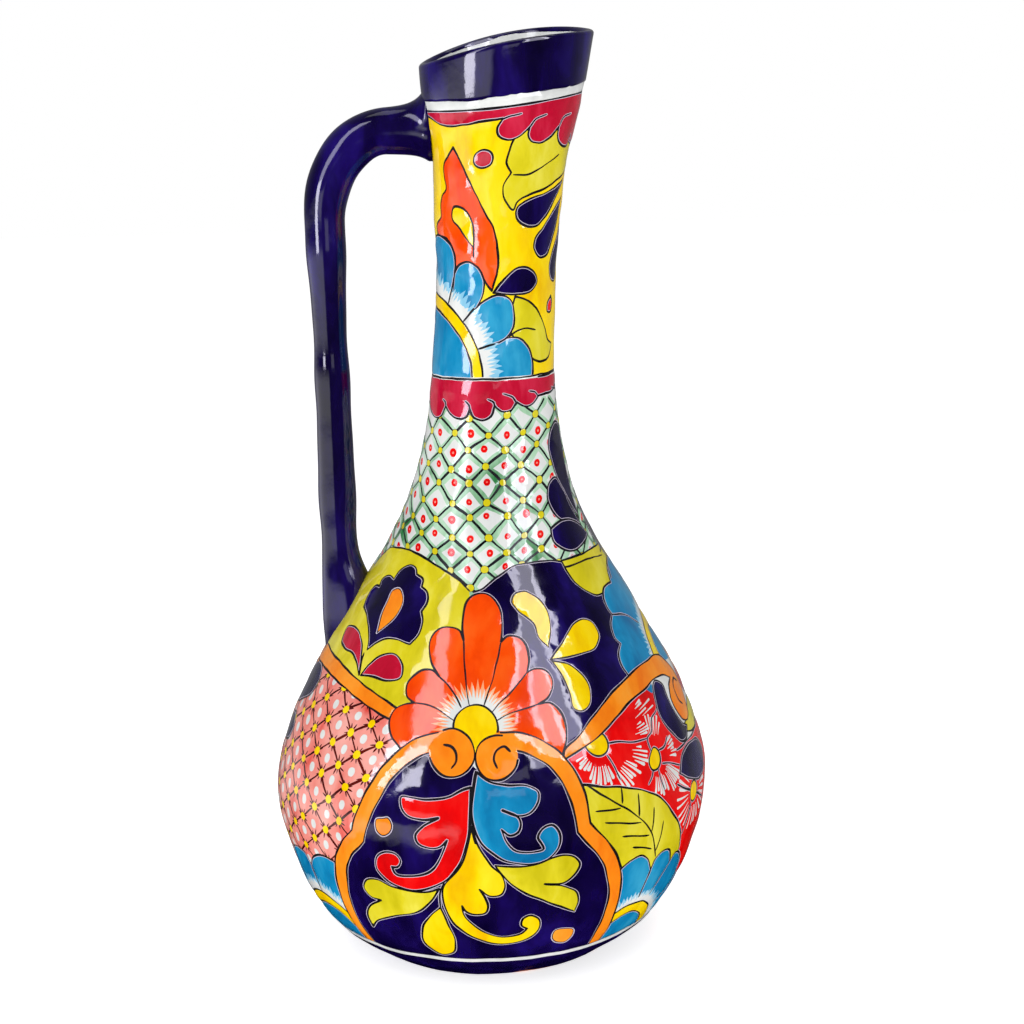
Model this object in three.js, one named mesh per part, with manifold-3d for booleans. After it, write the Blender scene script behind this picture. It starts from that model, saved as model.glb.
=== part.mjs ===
// A tall hand-built jug vase: a round bowl on a flat foot, a slim neck that leans a little towards its
// pouring side, an obliquely cut lip collar and a rod handle luted to the collar and the shoulder.
// Millimetres, +Z up. The origin is the centre of the foot, on the surface that the vase stands on.
// The front is -Y, the handle is on the -X side and the lip is highest towards +X.
import * as THREE from "three";
import { mergeVertices } from "three/addons/utils/BufferGeometryUtils.js";
import Module from "manifold-3d";

const wasm = await Module();
wasm.setup();

// Driving dimensions.
const HEIGHT = 400; // height that the profile and the lean are drawn over
const WALL = 5; // thickness of the clay wall, square to the surface
const FOOT_TOP = 14; // the foot ring ends here and the lower bowl begins
const FLOOR_TOP = 8; // inside floor of the vase
const RECESS = 1.5; // the base slab stands this much clear of the table, inside the foot ring
const SLAB_RADIUS = 44;
const FOOT_LEDGE = { width: 8, rise: 1.5 }; // the ring's inner shoulder, where it meets the floor
const EQUATOR = 75; // height of the widest ring, where the two moulded bowls meet
const SHOULDER_START = 165; // the cone of the shoulder is luted onto the upper bowl here
const NECK_START = 225; // the neck tube is luted onto the shoulder here
const COLLAR_START = 366; // the lip collar is luted onto the neck tube here
const COLLAR_STEP = 0.45; // how far the collar's foot stands proud of the neck
const COLLAR_SWELL = 1.05; // how far the collar's edge stands proud of the neck's own flare
const LIP = 3.5; // thickness of the collar's rounded edge
const LIP_SHARE = 0.93; // the edge is rounded above this share of the collar's height
const LUTE_GAP = 0.3; // clearance where a piece is shaped to its neighbour: slab to ring, pads to wall

const ROD_RADIUS = 8.2; // of the straight grip
const BOW_RADIUS = 9.7; // the rod is a little stouter over its bow
const BOW_SWELL_START = 280; // it begins to thicken here
const GRIP_X = -64.9; // centre line of the straight grip
const BOW_TOP = 359.6; // height of the centre line where the rod leaves the collar
const BOW_START_X = -36.5; // the level stretch ends and the bow begins
const BOW_END = 322; // the bow ends and the straight grip begins
const ROD_START_X = -12; // the centre line starts inside the neck
const ROD_FOOT = 128; // and ends inside the shoulder, at this height
const PAD_X = -29; // the upper pad ends here
const WAD_TOP = 186; // the lower wad begins here
const HANDLE_TURN = THREE.MathUtils.degToRad(-3); // the handle sits slightly behind the side
// The pad spreads up, down and across against the collar.
const PAD = { up: 9, down: 3, across: 1.5, reach: 4 };
// The wad fills in under the grip and spreads across.
const WAD = { inwards: 5, across: 1.5, reach: 6, foot: 166 };

const AROUND = 64; // segments round the vase
const ROUND_ROD = 28; // segments round the rod

// Outside radius of the vase at a few heights; the wall is a smooth curve through them.
const PROFILE = [
  [0, 56],
  [FOOT_TOP, 74.4],
  [40, 89.2],
  [EQUATOR, 96.5],
  [110, 87],
  [150, 64.6],
  [190, 41.8],
  [225, 30.2],
  [265, 26.2],
  [305, 26],
  [345, 28.7],
  [370, 33.4],
  [404, 36.8],
];

// Cubic through the profile's points, with the slope at each taken from its two neighbours.
function slopeAt(i) {
  const [z0, r0] = PROFILE[Math.max(i - 1, 0)];
  const [z1, r1] = PROFILE[Math.min(i + 1, PROFILE.length - 1)];
  return (r1 - r0) / (z1 - z0);
}

function outerRadius(z) {
  let i = 0;
  while (i < PROFILE.length - 2 && z > PROFILE[i + 1][0]) i += 1;
  const [z0, r0] = PROFILE[i];
  const [z1, r1] = PROFILE[i + 1];
  const span = z1 - z0;
  const t = THREE.MathUtils.clamp((z - z0) / span, 0, 1);
  const rise = t * t * (3 - 2 * t);
  const bend0 = t * (1 - t) * (1 - t) * span;
  const bend1 = t * t * (1 - t) * span;
  return r0 + (r1 - r0) * rise + slopeAt(i) * bend0 - slopeAt(i + 1) * bend1;
}

function innerRadius(z) {
  const step = 0.5;
  const slope = (outerRadius(z + step) - outerRadius(z - step)) / (2 * step);
  return outerRadius(z) - WALL * Math.hypot(1, slope);
}

// The centre line drifts towards the pouring side as it rises; the widest ring is centred on the origin.
function lean(z) {
  const u = Math.max(0, z / HEIGHT);
  return 5.7 * u + 11.1 * Math.sqrt(u) * u * u - 1.25;
}

// Height of the lip's edge round the mouth: low at the handle, high at the back of the pouring side.
function rimHeight(angle) {
  return 395.2 + 6 * Math.cos(angle) + 4 * Math.sin(angle) - 2 * Math.cos(2 * angle);
}

// Vertex-by-vertex reshaping of a geometry: move(p) changes the point p in place.
function reshape(geometry, move) {
  const position = geometry.getAttribute("position");
  const p = new THREE.Vector3();
  for (let i = 0; i < position.count; i += 1) {
    p.fromBufferAttribute(position, i);
    move(p);
    position.setXYZ(i, p.x, p.y, p.z);
  }
  geometry.computeVertexNormals();
  return geometry;
}

// Turns a profile of [radius, height] points about +Z.
function turned(points) {
  const profile = points.map(([r, z]) => new THREE.Vector2(r, z));
  const geometry = new THREE.LatheGeometry(profile, AROUND);
  return geometry.rotateX(Math.PI / 2);
}

function leaning(geometry) {
  return reshape(geometry, (p) => {
    p.x += lean(p.z);
  });
}

function heights(from, to, count) {
  return Array.from({ length: count + 1 }, (_, i) => from + ((to - from) * i) / count);
}

// A course of the wall between two heights: up the outside, down the inside, and closed.
function wallCourse(from, to, count) {
  const levels = heights(from, to, count);
  const outside = levels.map((z) => [outerRadius(z), z]);
  const inside = levels.map((z) => [innerRadius(z), z]).reverse();
  return leaning(turned([...outside, ...inside, outside[0]]));
}

function footRing() {
  const outside = heights(0, FOOT_TOP, 4).map((z) => [outerRadius(z), z]);
  const inside = [
    [innerRadius(FOOT_TOP), FOOT_TOP],
    [SLAB_RADIUS + FOOT_LEDGE.width, FLOOR_TOP + FOOT_LEDGE.rise],
    [SLAB_RADIUS, FLOOR_TOP],
    [SLAB_RADIUS, 0],
  ];
  return leaning(turned([...outside, ...inside, outside[0]]));
}

function baseSlab() {
  const edge = SLAB_RADIUS - LUTE_GAP;
  const section = [
    [0, RECESS],
    [edge, RECESS],
    [edge, FLOOR_TOP],
    [0, FLOOR_TOP],
  ];
  return leaning(turned(section));
}

// The collar is drawn with height 0 at its foot and 1 at its edge, then stretched to the oblique rim.
function lipCollar() {
  const outside = heights(0, LIP_SHARE, 6).map((v) => {
    const offset = THREE.MathUtils.lerp(COLLAR_STEP, COLLAR_SWELL, v);
    return [offset, v];
  });
  const lipRound = [15, 40, 65, 90, 115, 140, 165].map((degrees) => {
    const a = THREE.MathUtils.degToRad(degrees);
    const offset = COLLAR_SWELL + (LIP / 2) * (Math.cos(a) - 1);
    return [offset, LIP_SHARE + (1 - LIP_SHARE) * Math.sin(a)];
  });
  const inside = [
    [COLLAR_SWELL - LIP, LIP_SHARE],
    [(COLLAR_SWELL - LIP - WALL) / 2, LIP_SHARE / 2],
    [innerRadius(COLLAR_START) - outerRadius(COLLAR_START), 0],
  ];
  const base = outerRadius(COLLAR_START);
  const section = [...outside, ...lipRound, ...inside, outside[0]].map(([offset, v]) => [base + offset, v]);
  return reshape(turned(section), (p) => {
    const angle = Math.atan2(p.y, p.x);
    const z = COLLAR_START + p.z * (rimHeight(angle) - COLLAR_START);
    const radius = Math.hypot(p.x, p.y) + outerRadius(z) - base;
    p.set(radius * Math.cos(angle) + lean(z), radius * Math.sin(angle), z);
  });
}

// Shares of the centre line's length at which its level stretch, its bow and the whole rod end.
const LEVEL_SHARE = 0.2;
const BOW_SHARE = 0.5;

// Centre line of the handle, from inside the neck (0) to inside the shoulder (1), in the plane y = 0.
function rodPoint(t) {
  if (t < LEVEL_SHARE) {
    const x = THREE.MathUtils.lerp(ROD_START_X, BOW_START_X, t / LEVEL_SHARE);
    return { x, z: BOW_TOP, tx: -1, tz: 0 };
  }
  if (t < BOW_SHARE) {
    const a = ((t - LEVEL_SHARE) / (BOW_SHARE - LEVEL_SHARE)) * (Math.PI / 2);
    const width = BOW_START_X - GRIP_X;
    const height = BOW_TOP - BOW_END;
    const x = BOW_START_X - width * Math.sin(a);
    const z = BOW_END + height * Math.cos(a);
    const speed = Math.hypot(width * Math.cos(a), height * Math.sin(a));
    return { x, z, tx: (-width * Math.cos(a)) / speed, tz: (-height * Math.sin(a)) / speed };
  }
  const z = THREE.MathUtils.lerp(BOW_END, ROD_FOOT, (t - BOW_SHARE) / (1 - BOW_SHARE));
  return { x: GRIP_X, z, tx: 0, tz: -1 };
}

// Half-width of the rod towards the hand gap (side -1), away from it (side 1) or across (side 0).
function rodHalfWidth(point, side) {
  const bow = THREE.MathUtils.smoothstep(point.z, BOW_SWELL_START, BOW_TOP);
  const plain = THREE.MathUtils.lerp(ROD_RADIUS, BOW_RADIUS, bow);
  const fromNeck = Math.max(0, lean(BOW_TOP) - outerRadius(BOW_TOP) - point.x);
  const aboveFoot = Math.max(0, point.z - WAD.foot);
  const pad = point.x > BOW_START_X ? Math.exp(-fromNeck / PAD.reach) : 0;
  const wad = point.z < BOW_END ? Math.exp(-aboveFoot / WAD.reach) : 0;
  if (side > 0) return plain + PAD.up * pad;
  if (side < 0) return plain + PAD.down * pad + WAD.inwards * wad;
  return plain + PAD.across * pad + WAD.across * wad;
}

// A stretch of the rod: a cylinder bent along the centre line, square-ended.
function rodStretch(from, to, rings) {
  const rod = new THREE.CylinderGeometry(1, 1, 1, ROUND_ROD, rings);
  const bent = reshape(rod, (p) => {
    const point = rodPoint(THREE.MathUtils.lerp(from, to, 0.5 - p.y));
    const outward = p.x * rodHalfWidth(point, Math.sign(p.x));
    const across = p.z * rodHalfWidth(point, 0);
    p.set(point.x + point.tz * outward, across, point.z - point.tx * outward);
  });
  return bent.rotateZ(HANDLE_TURN);
}

function asSolid(geometry) {
  const bare = geometry.clone();
  bare.deleteAttribute("normal");
  bare.deleteAttribute("uv");
  const merged = mergeVertices(bare, 1e-3);
  const mesh = new wasm.Mesh({
    numProp: 3,
    vertProperties: merged.getAttribute("position").array,
    triVerts: new Uint32Array(merged.index.array),
  });
  return new wasm.Manifold(mesh);
}

function asGeometry(solid) {
  const mesh = solid.getMesh();
  const geometry = new THREE.BufferGeometry();
  geometry.setAttribute("position", new THREE.BufferAttribute(mesh.vertProperties, 3));
  geometry.setIndex(new THREE.BufferAttribute(mesh.triVerts, 1));
  geometry.computeVertexNormals();
  return geometry;
}

// Everything inside the vase's outside surface, grown by the luting gap.
function envelope() {
  const top = PROFILE[PROFILE.length - 1][0];
  const besideNeck = heights(0, COLLAR_START - 1, 64).map((z) => [outerRadius(z) + LUTE_GAP, z]);
  const besideCollar = heights(COLLAR_START - LUTE_GAP, top, 8).map((z) => [
    outerRadius(z) + COLLAR_SWELL + LUTE_GAP,
    z,
  ]);
  return asSolid(leaning(turned([[0, 0], ...besideNeck, ...besideCollar, [0, top]])));
}

function shapedToWall(geometry) {
  return asGeometry(asSolid(geometry).subtract(envelope()));
}

// Shares of the rod's length where the pieces of the handle meet.
const PAD_END = (LEVEL_SHARE * (ROD_START_X - PAD_X)) / (ROD_START_X - BOW_START_X);
const WAD_START = BOW_SHARE + ((1 - BOW_SHARE) * (BOW_END - WAD_TOP)) / (BOW_END - ROD_FOOT);

const GLAZES = {
  painted: { color: 0xf2c51c, roughness: 0.15, metalness: 0 },
  cobalt: { color: 0x1e1460, roughness: 0.12, metalness: 0 },
  white: { color: 0xf0efe8, roughness: 0.18, metalness: 0 },
  clay: { color: 0xb56a42, roughness: 0.85, metalness: 0 },
};

function piece(name, geometry, glaze) {
  const mesh = new THREE.Mesh(geometry, new THREE.MeshStandardMaterial(GLAZES[glaze]));
  mesh.name = name;
  return mesh;
}

const vase = new THREE.Group();
vase.add(
  piece("foot_ring", footRing(), "cobalt"),
  piece("base_slab", baseSlab(), "clay"),
  piece("lower_bowl", wallCourse(FOOT_TOP, EQUATOR, 7), "painted"),
  piece("upper_bowl", wallCourse(EQUATOR, SHOULDER_START, 9), "painted"),
  piece("shoulder_cone", wallCourse(SHOULDER_START, NECK_START, 7), "painted"),
  piece("neck_tube", wallCourse(NECK_START, COLLAR_START, 9), "painted"),
  piece("lip_collar", lipCollar(), "cobalt"),
  piece("handle_upper_pad", shapedToWall(rodStretch(0, PAD_END, 10)), "cobalt"),
  piece("handle_bow", rodStretch(PAD_END, BOW_SHARE, 14), "cobalt"),
  piece("handle_grip", rodStretch(BOW_SHARE, WAD_START, 8), "cobalt"),
  piece("handle_lower_wad", shapedToWall(rodStretch(WAD_START, 1, 8)), "cobalt"),
);

export default vase;
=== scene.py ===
import math
import random

import bpy
import numpy as np
from mathutils import Matrix, Vector, noise
from mathutils.geometry import delaunay_2d_cdt
from mathutils.kdtree import KDTree


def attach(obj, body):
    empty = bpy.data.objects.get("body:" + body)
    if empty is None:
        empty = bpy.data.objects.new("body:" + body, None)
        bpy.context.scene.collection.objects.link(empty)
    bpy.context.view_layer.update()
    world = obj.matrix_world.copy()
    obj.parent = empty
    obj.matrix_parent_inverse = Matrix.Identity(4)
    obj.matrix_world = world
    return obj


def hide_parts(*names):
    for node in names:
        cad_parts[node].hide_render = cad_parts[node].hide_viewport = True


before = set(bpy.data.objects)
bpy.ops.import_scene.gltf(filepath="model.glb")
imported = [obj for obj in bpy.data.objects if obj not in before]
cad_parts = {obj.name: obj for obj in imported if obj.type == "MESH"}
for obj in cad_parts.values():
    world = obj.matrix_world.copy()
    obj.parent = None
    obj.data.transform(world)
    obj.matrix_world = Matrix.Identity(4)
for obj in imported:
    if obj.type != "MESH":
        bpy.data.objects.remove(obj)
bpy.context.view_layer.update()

MM = 0.001
random.seed(7)

# ---------------------------------------------------------------- form of the vase, in millimetres

HEIGHT = 400.0
PROFILE = [   # height and outside radius
    (0, 56), (14, 74.4), (40, 89.2), (75, 96.5), (110, 87), (150, 64.6), (190, 41.8),
    (225, 30.2), (265, 26.2), (305, 26), (345, 28.7), (370, 33.4), (404, 36.8),
]
WALL = 5.0
FLOOR_TOP = 8.0

KNOTS, KNOT_RADII = np.array(PROFILE, float).T
BEFORE = np.maximum(np.arange(len(KNOTS)) - 1, 0)
AFTER = np.minimum(np.arange(len(KNOTS)) + 1, len(KNOTS) - 1)
KNOT_SLOPES = (KNOT_RADII[AFTER] - KNOT_RADII[BEFORE]) / (KNOTS[AFTER] - KNOTS[BEFORE])


def profile_radius(z):
    """Outside radius at height z: a smooth curve through PROFILE, sloped at each knot by its neighbours."""
    i = np.clip(np.searchsorted(KNOTS, z, side="right") - 1, 0, len(KNOTS) - 2)
    span = KNOTS[i + 1] - KNOTS[i]
    t = np.clip((z - KNOTS[i]) / span, 0, 1)
    eased = KNOT_RADII[i] + (KNOT_RADII[i + 1] - KNOT_RADII[i]) * (t * t * (3 - 2 * t))
    leaving = KNOT_SLOPES[i] * (t * (1 - t) ** 2 * span)
    arriving = KNOT_SLOPES[i + 1] * (t * t * (1 - t) * span)
    return eased + leaving - arriving


def slope_at(z):
    """How much the outside radius grows per millimetre of height."""
    return profile_radius(z + 0.5) - profile_radius(z - 0.5)


def lean(z):
    """The centre line's x at height z: it drifts to the right as it rises, most of all in the neck."""
    u = np.maximum(z, 0) / HEIGHT
    return 5.7 * u + 11.1 * u ** 2.5 - 1.25


LEVELS = np.arange(0, 406.25, 0.25)
RADII = profile_radius(LEVELS)
ARCS = np.concatenate([[0], np.cumsum(np.hypot(np.diff(LEVELS), np.diff(RADII)))])
# The painting plane is the angle and the rise: equal steps in both are equal steps on the wall.
RISES = np.concatenate([[0], np.cumsum(np.diff(ARCS) / (RADII[1:] + RADII[:-1]) * 2)])


def height_at(s):
    return np.interp(s, ARCS, LEVELS)


def radius_at(s):
    return np.interp(s, ARCS, RADII)


def rise_of(s):
    return np.interp(s, ARCS, RISES)


def arc_of(t):
    return np.interp(t, RISES, ARCS)


def wall_points(plane, proud=0.0):
    """Points in space for (angle from the front, rise) pairs, `proud` millimetres outside the wall."""
    s = arc_of(plane[:, 1])
    z = height_at(s)
    slope = slope_at(z)
    tilt = 1 / np.hypot(1, slope)
    out = radius_at(s) + proud * tilt
    a = plane[:, 0]
    return np.stack([lean(z) + out * np.sin(a), -out * np.cos(a), z - proud * slope * tilt], 1)


# ---------------------------------------------------------------- the painting: layers in a flat plane

FULL = 2 * math.pi
SEAM = math.radians(-93)   # the plane is cut open behind the handle
AXIS = math.radians(87)    # opposite the handle: the back is the mirror image of the front about it
PAST_SEAM = 0.05           # how far past the cut a motif is still drawn, in radians
STEP = 1.0                 # between points along a drawn edge
GRID = 2.4                 # between free points of the wall's mesh
CLEARANCE = 0.9            # between free points and drawn edges
PEN = 0.43                 # half-width of the black outlines
HALO = 0.24                # pale rim that the wax line leaves on both sides of a black outline
FOOT_LINE = 24.2           # arc length up the wall to the top of the cobalt foot
TOP = 408.5                # arc length up the wall to a line under the collar
(COBALT, YELLOW, LIME, ORANGE, GOLD, RASPBERRY, RED, TURQUOISE, WHITE, SALMON, GREEN, INK, RIM, BROWN, SKY,
 PEACH) = range(16)
RIMMED = (COBALT, RASPBERRY, RED, TURQUOISE)   # the darker glazes, on which the pale rim shows
V = "corner"

layers = []


def add_layer(path, colour, closed=True, half=None, halo=0.0):
    """half is a line's half-width at each point, in the plane's units, or None for a filled shape."""
    layers.append({"path": path, "colour": colour, "closed": closed, "half": half, "halo": halo})


def smooth(points, closed):
    """A curve through the points, rounded everywhere but at those marked V."""
    xy = np.array([p[:2] for p in points], float)
    sharp = [len(p) > 2 for p in points]
    n = len(xy)
    chords = np.roll(xy, -1, 0) - xy
    lengths = np.maximum(np.hypot(*chords.T), 1e-6)
    unit = chords / lengths[:, None]
    tangents = np.zeros_like(xy)
    for i in range(n):
        h, k = lengths[i - 1], lengths[i]
        tangents[i] = (unit[i] * h + unit[i - 1] * k) / (h + k)
    out = []
    for i in range(n if closed else n - 1):
        j = (i + 1) % n
        start = unit[i] if sharp[i] or (not closed and i == 0) else tangents[i]
        end = unit[i] if sharp[j] or (not closed and j == n - 1) else tangents[j]
        t = np.linspace(0, 1, max(2, math.ceil(lengths[i] / STEP)) + 1)[:-1, None]
        curve = xy[i] + chords[i] * (t * t * (3 - 2 * t))
        curve = curve + start * lengths[i] * t * (1 - t) ** 2
        out.append(curve - end * lengths[i] * t * t * (1 - t))
    if not closed:
        out.append(xy[-1:])
    return np.vstack(out)


def on_wall(xy, spot):
    """Plane coordinates of points in millimetres to the right of and above a spot (degrees, arc length)."""
    a0, s0 = spot
    s = s0 + xy[:, 1]
    return np.stack([math.radians(a0) + xy[:, 0] / radius_at(s), rise_of(s)], 1)


def wandering(path):
    """The slight wander of a freehand line, the same for everything drawn in one place."""
    u, t = path.T
    du = np.sin(11 * u + 9 * t + 1) + np.sin(-23 * u + 17 * t + 2) * 0.7 + np.sin(41 * u + 37 * t) * 0.4
    dt = np.sin(13 * u - 11 * t + 4) + np.sin(19 * u + 23 * t + 5) * 0.7 + np.sin(-37 * u + 43 * t) * 0.4
    return path + 0.0028 * np.stack([du, dt], 1)


def lay(path, colour, closed=True, half=None, halo=0.0, twice=True):
    """Adds a filled shape, or a line where half is its half-width, to the front and mirrored to the back."""
    for mirrored in (False, True) if twice else (False,):
        placed = wandering(path * [-1, 1] + [2 * AXIS, 0] if mirrored else path)
        for turn in (-FULL, 0, FULL):
            moved = placed + [turn, 0]
            if moved[:, 0].max() > SEAM - PAST_SEAM and moved[:, 0].min() < SEAM + FULL + PAST_SEAM:
                widths = None if half is None else half / radius_at(arc_of(moved[:, 1]))
                add_layer(moved, colour, closed, widths, halo)


def pen_widths(path, half, taper=0.0):
    """Half-widths along a line: the pen's pressure varies, and taper thins the ends."""
    along = np.linspace(0, 1, len(path))
    beat = np.arange(len(path)) * 0.35 + random.uniform(0, 6)
    pressed = 1 + 0.16 * np.sin(beat) + 0.2 * np.sin(beat * 0.31 + 1)
    ends = np.minimum(1, np.minimum(along, 1 - along) * 6 + 1 - taper)
    return half * pressed * ends


def line(spot, points, half=PEN, colour=INK, halo=HALO, closed=False, taper=0.35, twice=True):
    xy = smooth(points, closed)
    lay(on_wall(xy, spot), colour, closed, pen_widths(xy, half, 0 if closed else taper), halo, twice)


def lines(spot, paths, half=PEN, **style):
    for points in paths:
        line(spot, points, half, **style)


def fill(spot, points, colour, twice=True):
    lay(on_wall(smooth(points, True), spot), colour, twice=twice)


def shape(spot, points, colour, twice=True, half=PEN, halo=HALO):
    """A filled shape with its outline."""
    fill(spot, points, colour, twice)
    line(spot, points, half, halo=halo, closed=True, twice=twice)


def edged(spot, edge, rest, colour, twice=True):
    """A filled shape of which only the first stretch is outlined; the rest lies under something else."""
    corners = [(x, y, V) for x, y in rest]
    fill(spot, [(*edge[0][:2], V), *edge[1:-1], (*edge[-1][:2], V), *corners], colour, twice)
    line(spot, edge, twice=twice, taper=0)


def band(spot, points, half, colour):
    """A stripe with an outline along each side. half is the half-width at each end."""
    xy = smooth(points, False)
    path = on_wall(xy, spot)
    widths = np.linspace(*half, len(xy))
    lay(path, colour, False, widths)
    for sign in (1, -1):
        edge = sideways(path, False, sign * widths / radius_at(arc_of(path[:, 1])))
        lay(edge, INK, False, pen_widths(edge, PEN), HALO)


def polar(centre, angle, reach, upright=None):
    """The point at an angle in radians round a centre; upright is the reach along y where it differs."""
    return centre[0] + reach * math.cos(angle), centre[1] + (upright or reach) * math.sin(angle)


def oval(centre, rx, ry=None, start=0.0, end=360.0):
    """Points of an ellipse, or of an arc of one, between two angles in degrees."""
    ry = ry or rx
    count = max(6, math.ceil(math.radians(abs(end - start)) * max(rx, ry) / 2.5))
    angles = np.radians(np.linspace(start, end, count + 1))
    points = [polar(centre, a, rx, ry) for a in angles]
    return points[:-1] if abs(end - start) >= 360 else points


def fringe(spot, centre, inner, outer, start, end, count, thin=SKY, twice=True, depth=0.6):
    """White brush points that radiate from a flower's heart, over longer ones where the white runs out."""
    for spread, number, colour in ((1.35, count, thin), (1, round(count * 1.3), WHITE)):
        tips = inner + (outer - inner) * spread
        roots = tips - (outer - inner) * depth
        points = []
        for i in range(2 * number + 1):
            a = math.radians(start + (end - start) * (i + random.uniform(-0.25, 0.25)) / (2 * number))
            r = (tips if i % 2 else roots) * random.uniform(0.97, 1.03) + (i % 2) * random.uniform(-0.8, 0.8)
            points.append((*polar(centre, a, r), V))
        back = [(*p, V) for p in reversed(oval(centre, inner - 1, inner - 1, start, end))]
        fill(spot, points + back, colour, twice)


def spokes(spot, centre, reach, start, end, count, half=0.55):
    """Short white brush strokes along a petal: they start thin and end broad near its edge."""
    for i in range(count):
        a = math.radians(start + (end - start) * (i + random.uniform(0.3, 0.7)) / count)
        near = reach[0] * random.uniform(0.92, 1.12)
        far = reach[1] * random.uniform(0.88, 1.06)
        xy = smooth([polar(centre, a, r) for r in (near, far)], False)
        widths = half * random.uniform(0.75, 1.25) * np.linspace(0.3, 1.2, len(xy))
        lay(on_wall(xy, spot), WHITE, False, widths)


# ---------------------------------------------------------------- the mesh under the painting


def sideways(path, closed, distance):
    """The path moved to its left by the distance at each point, rounded outside sharp corners."""
    if closed:
        before = path - np.roll(path, 1, 0)
        after = np.roll(path, -1, 0) - path
    else:
        steps = np.diff(path, axis=0)
        before = np.vstack([steps[:1], steps])
        after = np.vstack([steps, steps[-1:]])
    heading = np.arctan2(before[:, 1], before[:, 0])
    turn = (np.arctan2(after[:, 1], after[:, 0]) - heading + math.pi) % FULL - math.pi
    out = []
    for p, h, t, d in zip(path, heading, turn, distance):
        if t * d < -0.6 * abs(d):
            angles = h + t * np.linspace(0, 1, math.ceil(abs(t) / 0.6) + 1)
        else:
            angles = [h + t / 2]
            d = d / max(0.8, math.cos(t / 2))
        out.extend((p[0] - d * math.sin(a), p[1] + d * math.cos(a)) for a in angles)
    return np.array(out)


FAR = 9.0     # stands for the gap of points that aren't near a line
CHUNK = 24    # pieces of a line that are measured at a time


def gap_to(points, path, closed, half):
    """How far each point is outside a line of varying half-width; negative inside it."""
    start, width0 = path, half
    end, width1 = np.roll(path, -1, 0), np.roll(half, -1)
    if not closed:
        start, end, width0, width1 = start[:-1], end[:-1], width0[:-1], width1[:-1]
    gap = np.full(len(points), FAR)
    reach = 1.2 * half.max() + 0.06
    for i in range(0, len(start), CHUNK):
        a, b = start[i : i + CHUNK], end[i : i + CHUNK]
        low = np.minimum(a.min(0), b.min(0)) - reach
        high = np.maximum(a.max(0), b.max(0)) + reach
        near = np.nonzero(((points > low) & (points < high)).all(1))[0]
        if not len(near):
            continue
        p = points[near][:, None]
        along = b - a
        t = ((p - a) * along).sum(2) / np.maximum((along ** 2).sum(1), 1e-18)
        t = np.clip(t, 0, 1)
        away = np.hypot(*np.moveaxis(p - a - t[..., None] * along, 2, 0))
        away -= width0[i : i + CHUNK] * (1 - t) + width1[i : i + CHUNK] * t
        gap[near] = np.minimum(gap[near], away.min(1))
    return gap


def inside(points, path):
    """Which points lie in a closed path."""
    x, y = points[:, 0], points[:, 1]
    found = np.zeros(len(points), bool)
    low, high = path.min(0), path.max(0)
    near = np.nonzero((x > low[0]) & (x < high[0]) & (y > low[1]) & (y < high[1]))[0]
    x0, y0 = path.T
    x1, y1 = np.roll(path, -1, 0).T
    rise = np.where(np.abs(y1 - y0) < 1e-15, 1e-15, y1 - y0)
    for part in np.array_split(near, max(1, len(near) // 4000)):
        px, py = x[part][:, None], y[part][:, None]
        crosses = (y0 > py) != (y1 > py)
        found[part] = (crosses & (px < x0 + (py - y0) * (x1 - x0) / rise)).sum(1) % 2 == 1
    return found


def end_cap(path, widths, i, j):
    """Three points round the end i of an open line whose next point is j."""
    heading = math.atan2(*(path[i] - path[j])[::-1])
    turns = heading + np.radians([-45, 0, 45])
    return path[i] + widths[i] * np.stack([np.cos(turns), np.sin(turns)], 1)


def contours(layer):
    """The closed loops at which a layer's colours change."""
    path, closed, half = layer["path"], layer["closed"], layer["half"]
    if half is None:
        return [path]
    loops = []
    spread = [half]
    if layer["halo"]:
        spread.append(half + layer["halo"] / radius_at(arc_of(path[:, 1])))
    for d in spread:
        left, right = sideways(path, closed, d), sideways(path, closed, -d)
        sides = [left, right]
        if not closed:
            first, last = end_cap(path, d, 0, 1), end_cap(path, d, -1, -2)
            sides = [np.vstack([left, last[::-1], right[::-1], first[::-1]])]
        for side in sides:
            keep = gap_to(side, path, closed, d) > -0.1 * d.mean()
            if keep.sum() > 3:
                loops.append(side[keep])
    return loops


def sorted_by_rise(points):
    """The order of points by rise, and the sorted rises: a layer looks only at the points level with it."""
    order = np.argsort(points[:, 1])
    return order, points[order, 1]


def level_with(path, order, sorted_rise, margin=0.0):
    low = np.searchsorted(sorted_rise, path[:, 1].min() - margin)
    high = np.searchsorted(sorted_rise, path[:, 1].max() + margin)
    return order[low:high]


def off_the_wall(points):
    hidden = (points[:, 0] < SEAM - 0.04) | (points[:, 0] > SEAM + FULL + 0.04)
    return hidden | (points[:, 1] < 0.0) | (points[:, 1] > rise_of(TOP))


def drawn_edges():
    """Points along every painted edge, and the pairs to join, but for stretches that a later shape covers."""
    loops, owner = [], []
    for i, layer in enumerate(layers):
        for loop in contours(layer):
            loops.append(loop)
            owner.append(np.full(len(loop), i))
    points, owner = np.vstack(loops), np.concatenate(owner)
    hidden = off_the_wall(points)
    order, sorted_rise = sorted_by_rise(points)
    for i, layer in enumerate(layers):
        if layer["half"] is None:
            rows = level_with(layer["path"], order, sorted_rise)
            rows = rows[owner[rows] < i]
            hidden[rows[inside(points[rows], layer["path"])]] = True
    edges, base = [], 0
    for loop in loops:
        index = np.arange(len(loop)) + base
        after = np.roll(index, -1)
        seen = ~(hidden[index] & hidden[after])
        edges.append(np.stack([index[seen], after[seen]], 1))
        base += len(loop)
    return points, np.vstack(edges)


def tree_of(points):
    cloud = KDTree(len(points))
    for i, p in enumerate(points):
        cloud.insert(p, i)
    cloud.balance()
    return cloud


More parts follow.
